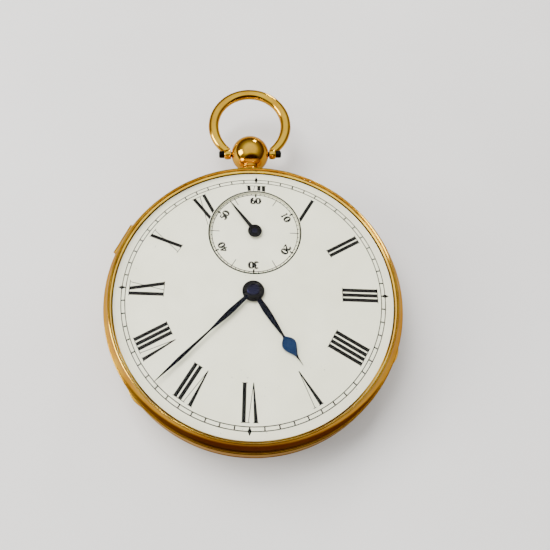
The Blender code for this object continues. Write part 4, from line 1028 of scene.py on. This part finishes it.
# ---------------------------------------------------------------- carried-over nodes, stage, camera


def dress_nodes():
    """Every CAD node that still shows takes its slot's detailed material."""
    slots = {row["node"]: row["material_slot"] for row in frame["record"]["subparts"]}
    for name, made in frame["nodes"].items():
        made.data.materials.clear()
        made.data.materials.append(SLOT_MATERIALS[slots[name]])


def stage():
    """A pale table. Only in reflections is it painted dark and warm toward the front: a painted reflection
    that the gold shows.
    """
    mesh = bpy.data.meshes.new("table")
    half = 1.5
    corners = [(-half, -half, 0), (half, -half, 0), (half, half, 0), (-half, half, 0)]
    mesh.from_pydata(corners, [], [(0, 1, 2, 3)])
    look, tree, shader = material("table_top", (0.72, 0.71, 0.7), 0.0, 0.5)
    tone = ramp(tree, noise(tree, 14.0, 4), [(0.3, (0.70, 0.685, 0.68)), (0.7, (0.77, 0.765, 0.76))])
    path = tree.nodes.new("ShaderNodeLightPath")
    mix = tree.nodes.new("ShaderNodeMix")
    mix.data_type = "RGBA"
    coords = tree.nodes.new("ShaderNodeTexCoord")
    parts = tree.nodes.new("ShaderNodeSeparateXYZ")
    tree.links.new(coords.outputs["Object"], parts.inputs["Vector"])
    scale = tree.nodes.new("ShaderNodeMath")
    scale.operation = "MULTIPLY"
    scale.inputs[1].default_value = -8.0
    tree.links.new(parts.outputs["Y"], scale.inputs[0])
    # painted reflection: seen by reflected rays, the front of the table turns dark brown
    mirrored = ramp(tree, scale.outputs["Value"], [(0.2, (0.3, 0.22, 0.12)), (0.26, (0.04, 0.008, 0.005))])
    tree.links.new(mirrored, mix.inputs["B"])
    tree.links.new(path.outputs["Is Glossy Ray"], mix.inputs["Factor"])
    tree.links.new(tone, mix.inputs["A"])
    tree.links.new(mix.outputs["Result"], shader.inputs["Base Color"])
    mesh.materials.append(look)
    table = bpy.data.objects.new("table", mesh)
    bpy.context.scene.collection.objects.link(table)
    table.location.z = -0.00005


def area_light(name, place, target, size, power, colour, mirrored=True):
    """A soft light; one that isn't mirrored lights the watch without showing in glass or gold."""
    data = bpy.data.lights.new(name, "AREA")
    data.size = size
    data.energy = power
    data.color = colour
    made = bpy.data.objects.new(name, data)
    made.location = place
    made.rotation_euler = (Vector(target) - Vector(place)).to_track_quat("-Z", "Y").to_euler()
    made.visible_glossy = mirrored
    bpy.context.scene.collection.objects.link(made)


def world():
    """Pale surroundings. The gold mirrors them darker and warmer near the horizon, most of all in front."""
    made = bpy.data.worlds.new("studio")
    made.use_nodes = True
    bpy.context.scene.world = made
    tree = made.node_tree
    back_node = tree.nodes["Background"]
    coords = tree.nodes.new("ShaderNodeTexCoord")
    parts = tree.nodes.new("ShaderNodeSeparateXYZ")
    tree.links.new(coords.outputs["Generated"], parts.inputs["Vector"])
    height = ramp(tree, parts.outputs["Z"], [
        (0.0, (0.05, 0.02, 0.01)), (0.3, (0.1, 0.06, 0.035)),
        (0.62, (0.34, 0.3, 0.24)), (0.86, (1.0, 0.97, 0.9)),
    ])
    dot = tree.nodes.new("ShaderNodeVectorMath")
    dot.operation = "DOT_PRODUCT"
    dot.inputs[1].default_value = Vector((0.12, -1, 0.3)).normalized()
    tree.links.new(coords.outputs["Generated"], dot.inputs[0])
    near = ramp(tree, dot.outputs["Value"], [(0.6, (1, 1, 1)), (0.78, (0.05, 0.01, 0.006))])
    darker = tree.nodes.new("ShaderNodeMix")
    darker.data_type = "RGBA"
    darker.blend_type = "MULTIPLY"
    darker.inputs["Factor"].default_value = 1.0
    tree.links.new(height, darker.inputs["A"])
    tree.links.new(near, darker.inputs["B"])
    path = tree.nodes.new("ShaderNodeLightPath")
    mix = tree.nodes.new("ShaderNodeMix")
    mix.data_type = "RGBA"
    mix.inputs["A"].default_value = (0.88, 0.875, 0.86, 1)
    tree.links.new(path.outputs["Is Glossy Ray"], mix.inputs["Factor"])
    tree.links.new(darker.outputs["Result"], mix.inputs["B"])
    tree.links.new(mix.outputs["Result"], back_node.inputs["Color"])
    back_node.inputs["Strength"].default_value = 1.05


def camera():
    """Close above the 6 o'clock side, turned with the dial."""
    data = bpy.data.cameras.new("camera")
    data.lens = 39.01
    data.sensor_width = 36.0
    data.shift_x = 0.0575
    data.shift_y = -0.1455
    data.clip_start = 0.001
    made = bpy.data.objects.new("camera", data)
    tilt, lean, swing = 30.5810, -0.4928, 1.8868  # degrees about x, y and z
    turn = Euler([math.radians(a) for a in (tilt, lean, swing)]).to_matrix().to_4x4()
    place = Vector((-1.145, -33.75, 86.17 + DIAL_TOP)) * MM
    made.matrix_world = MOVEMENT @ (Matrix.Translation(place) @ turn)
    bpy.context.scene.collection.objects.link(made)
    bpy.context.scene.camera = made


dress_nodes()
case_middle()
bezel()
glass()
back()
inner_dome()
pendant()
bow()
dial_plate()
dial_print()
seconds_print()
hands()
stage()
world()
area_light("key", (-0.25, 0.25, 0.55), (0, 0, 0), 0.45, 7.0, (1.0, 0.985, 0.96), False)
area_light("window", (-0.75, -0.05, 0.42), (0, 0, 0), 0.35, 5.0, (1.0, 0.97, 0.92))
area_light("lamp", (0.28, 0.75, 0.35), (0, 0, 0), 0.12, 1.5, (1.0, 0.95, 0.88))
camera()
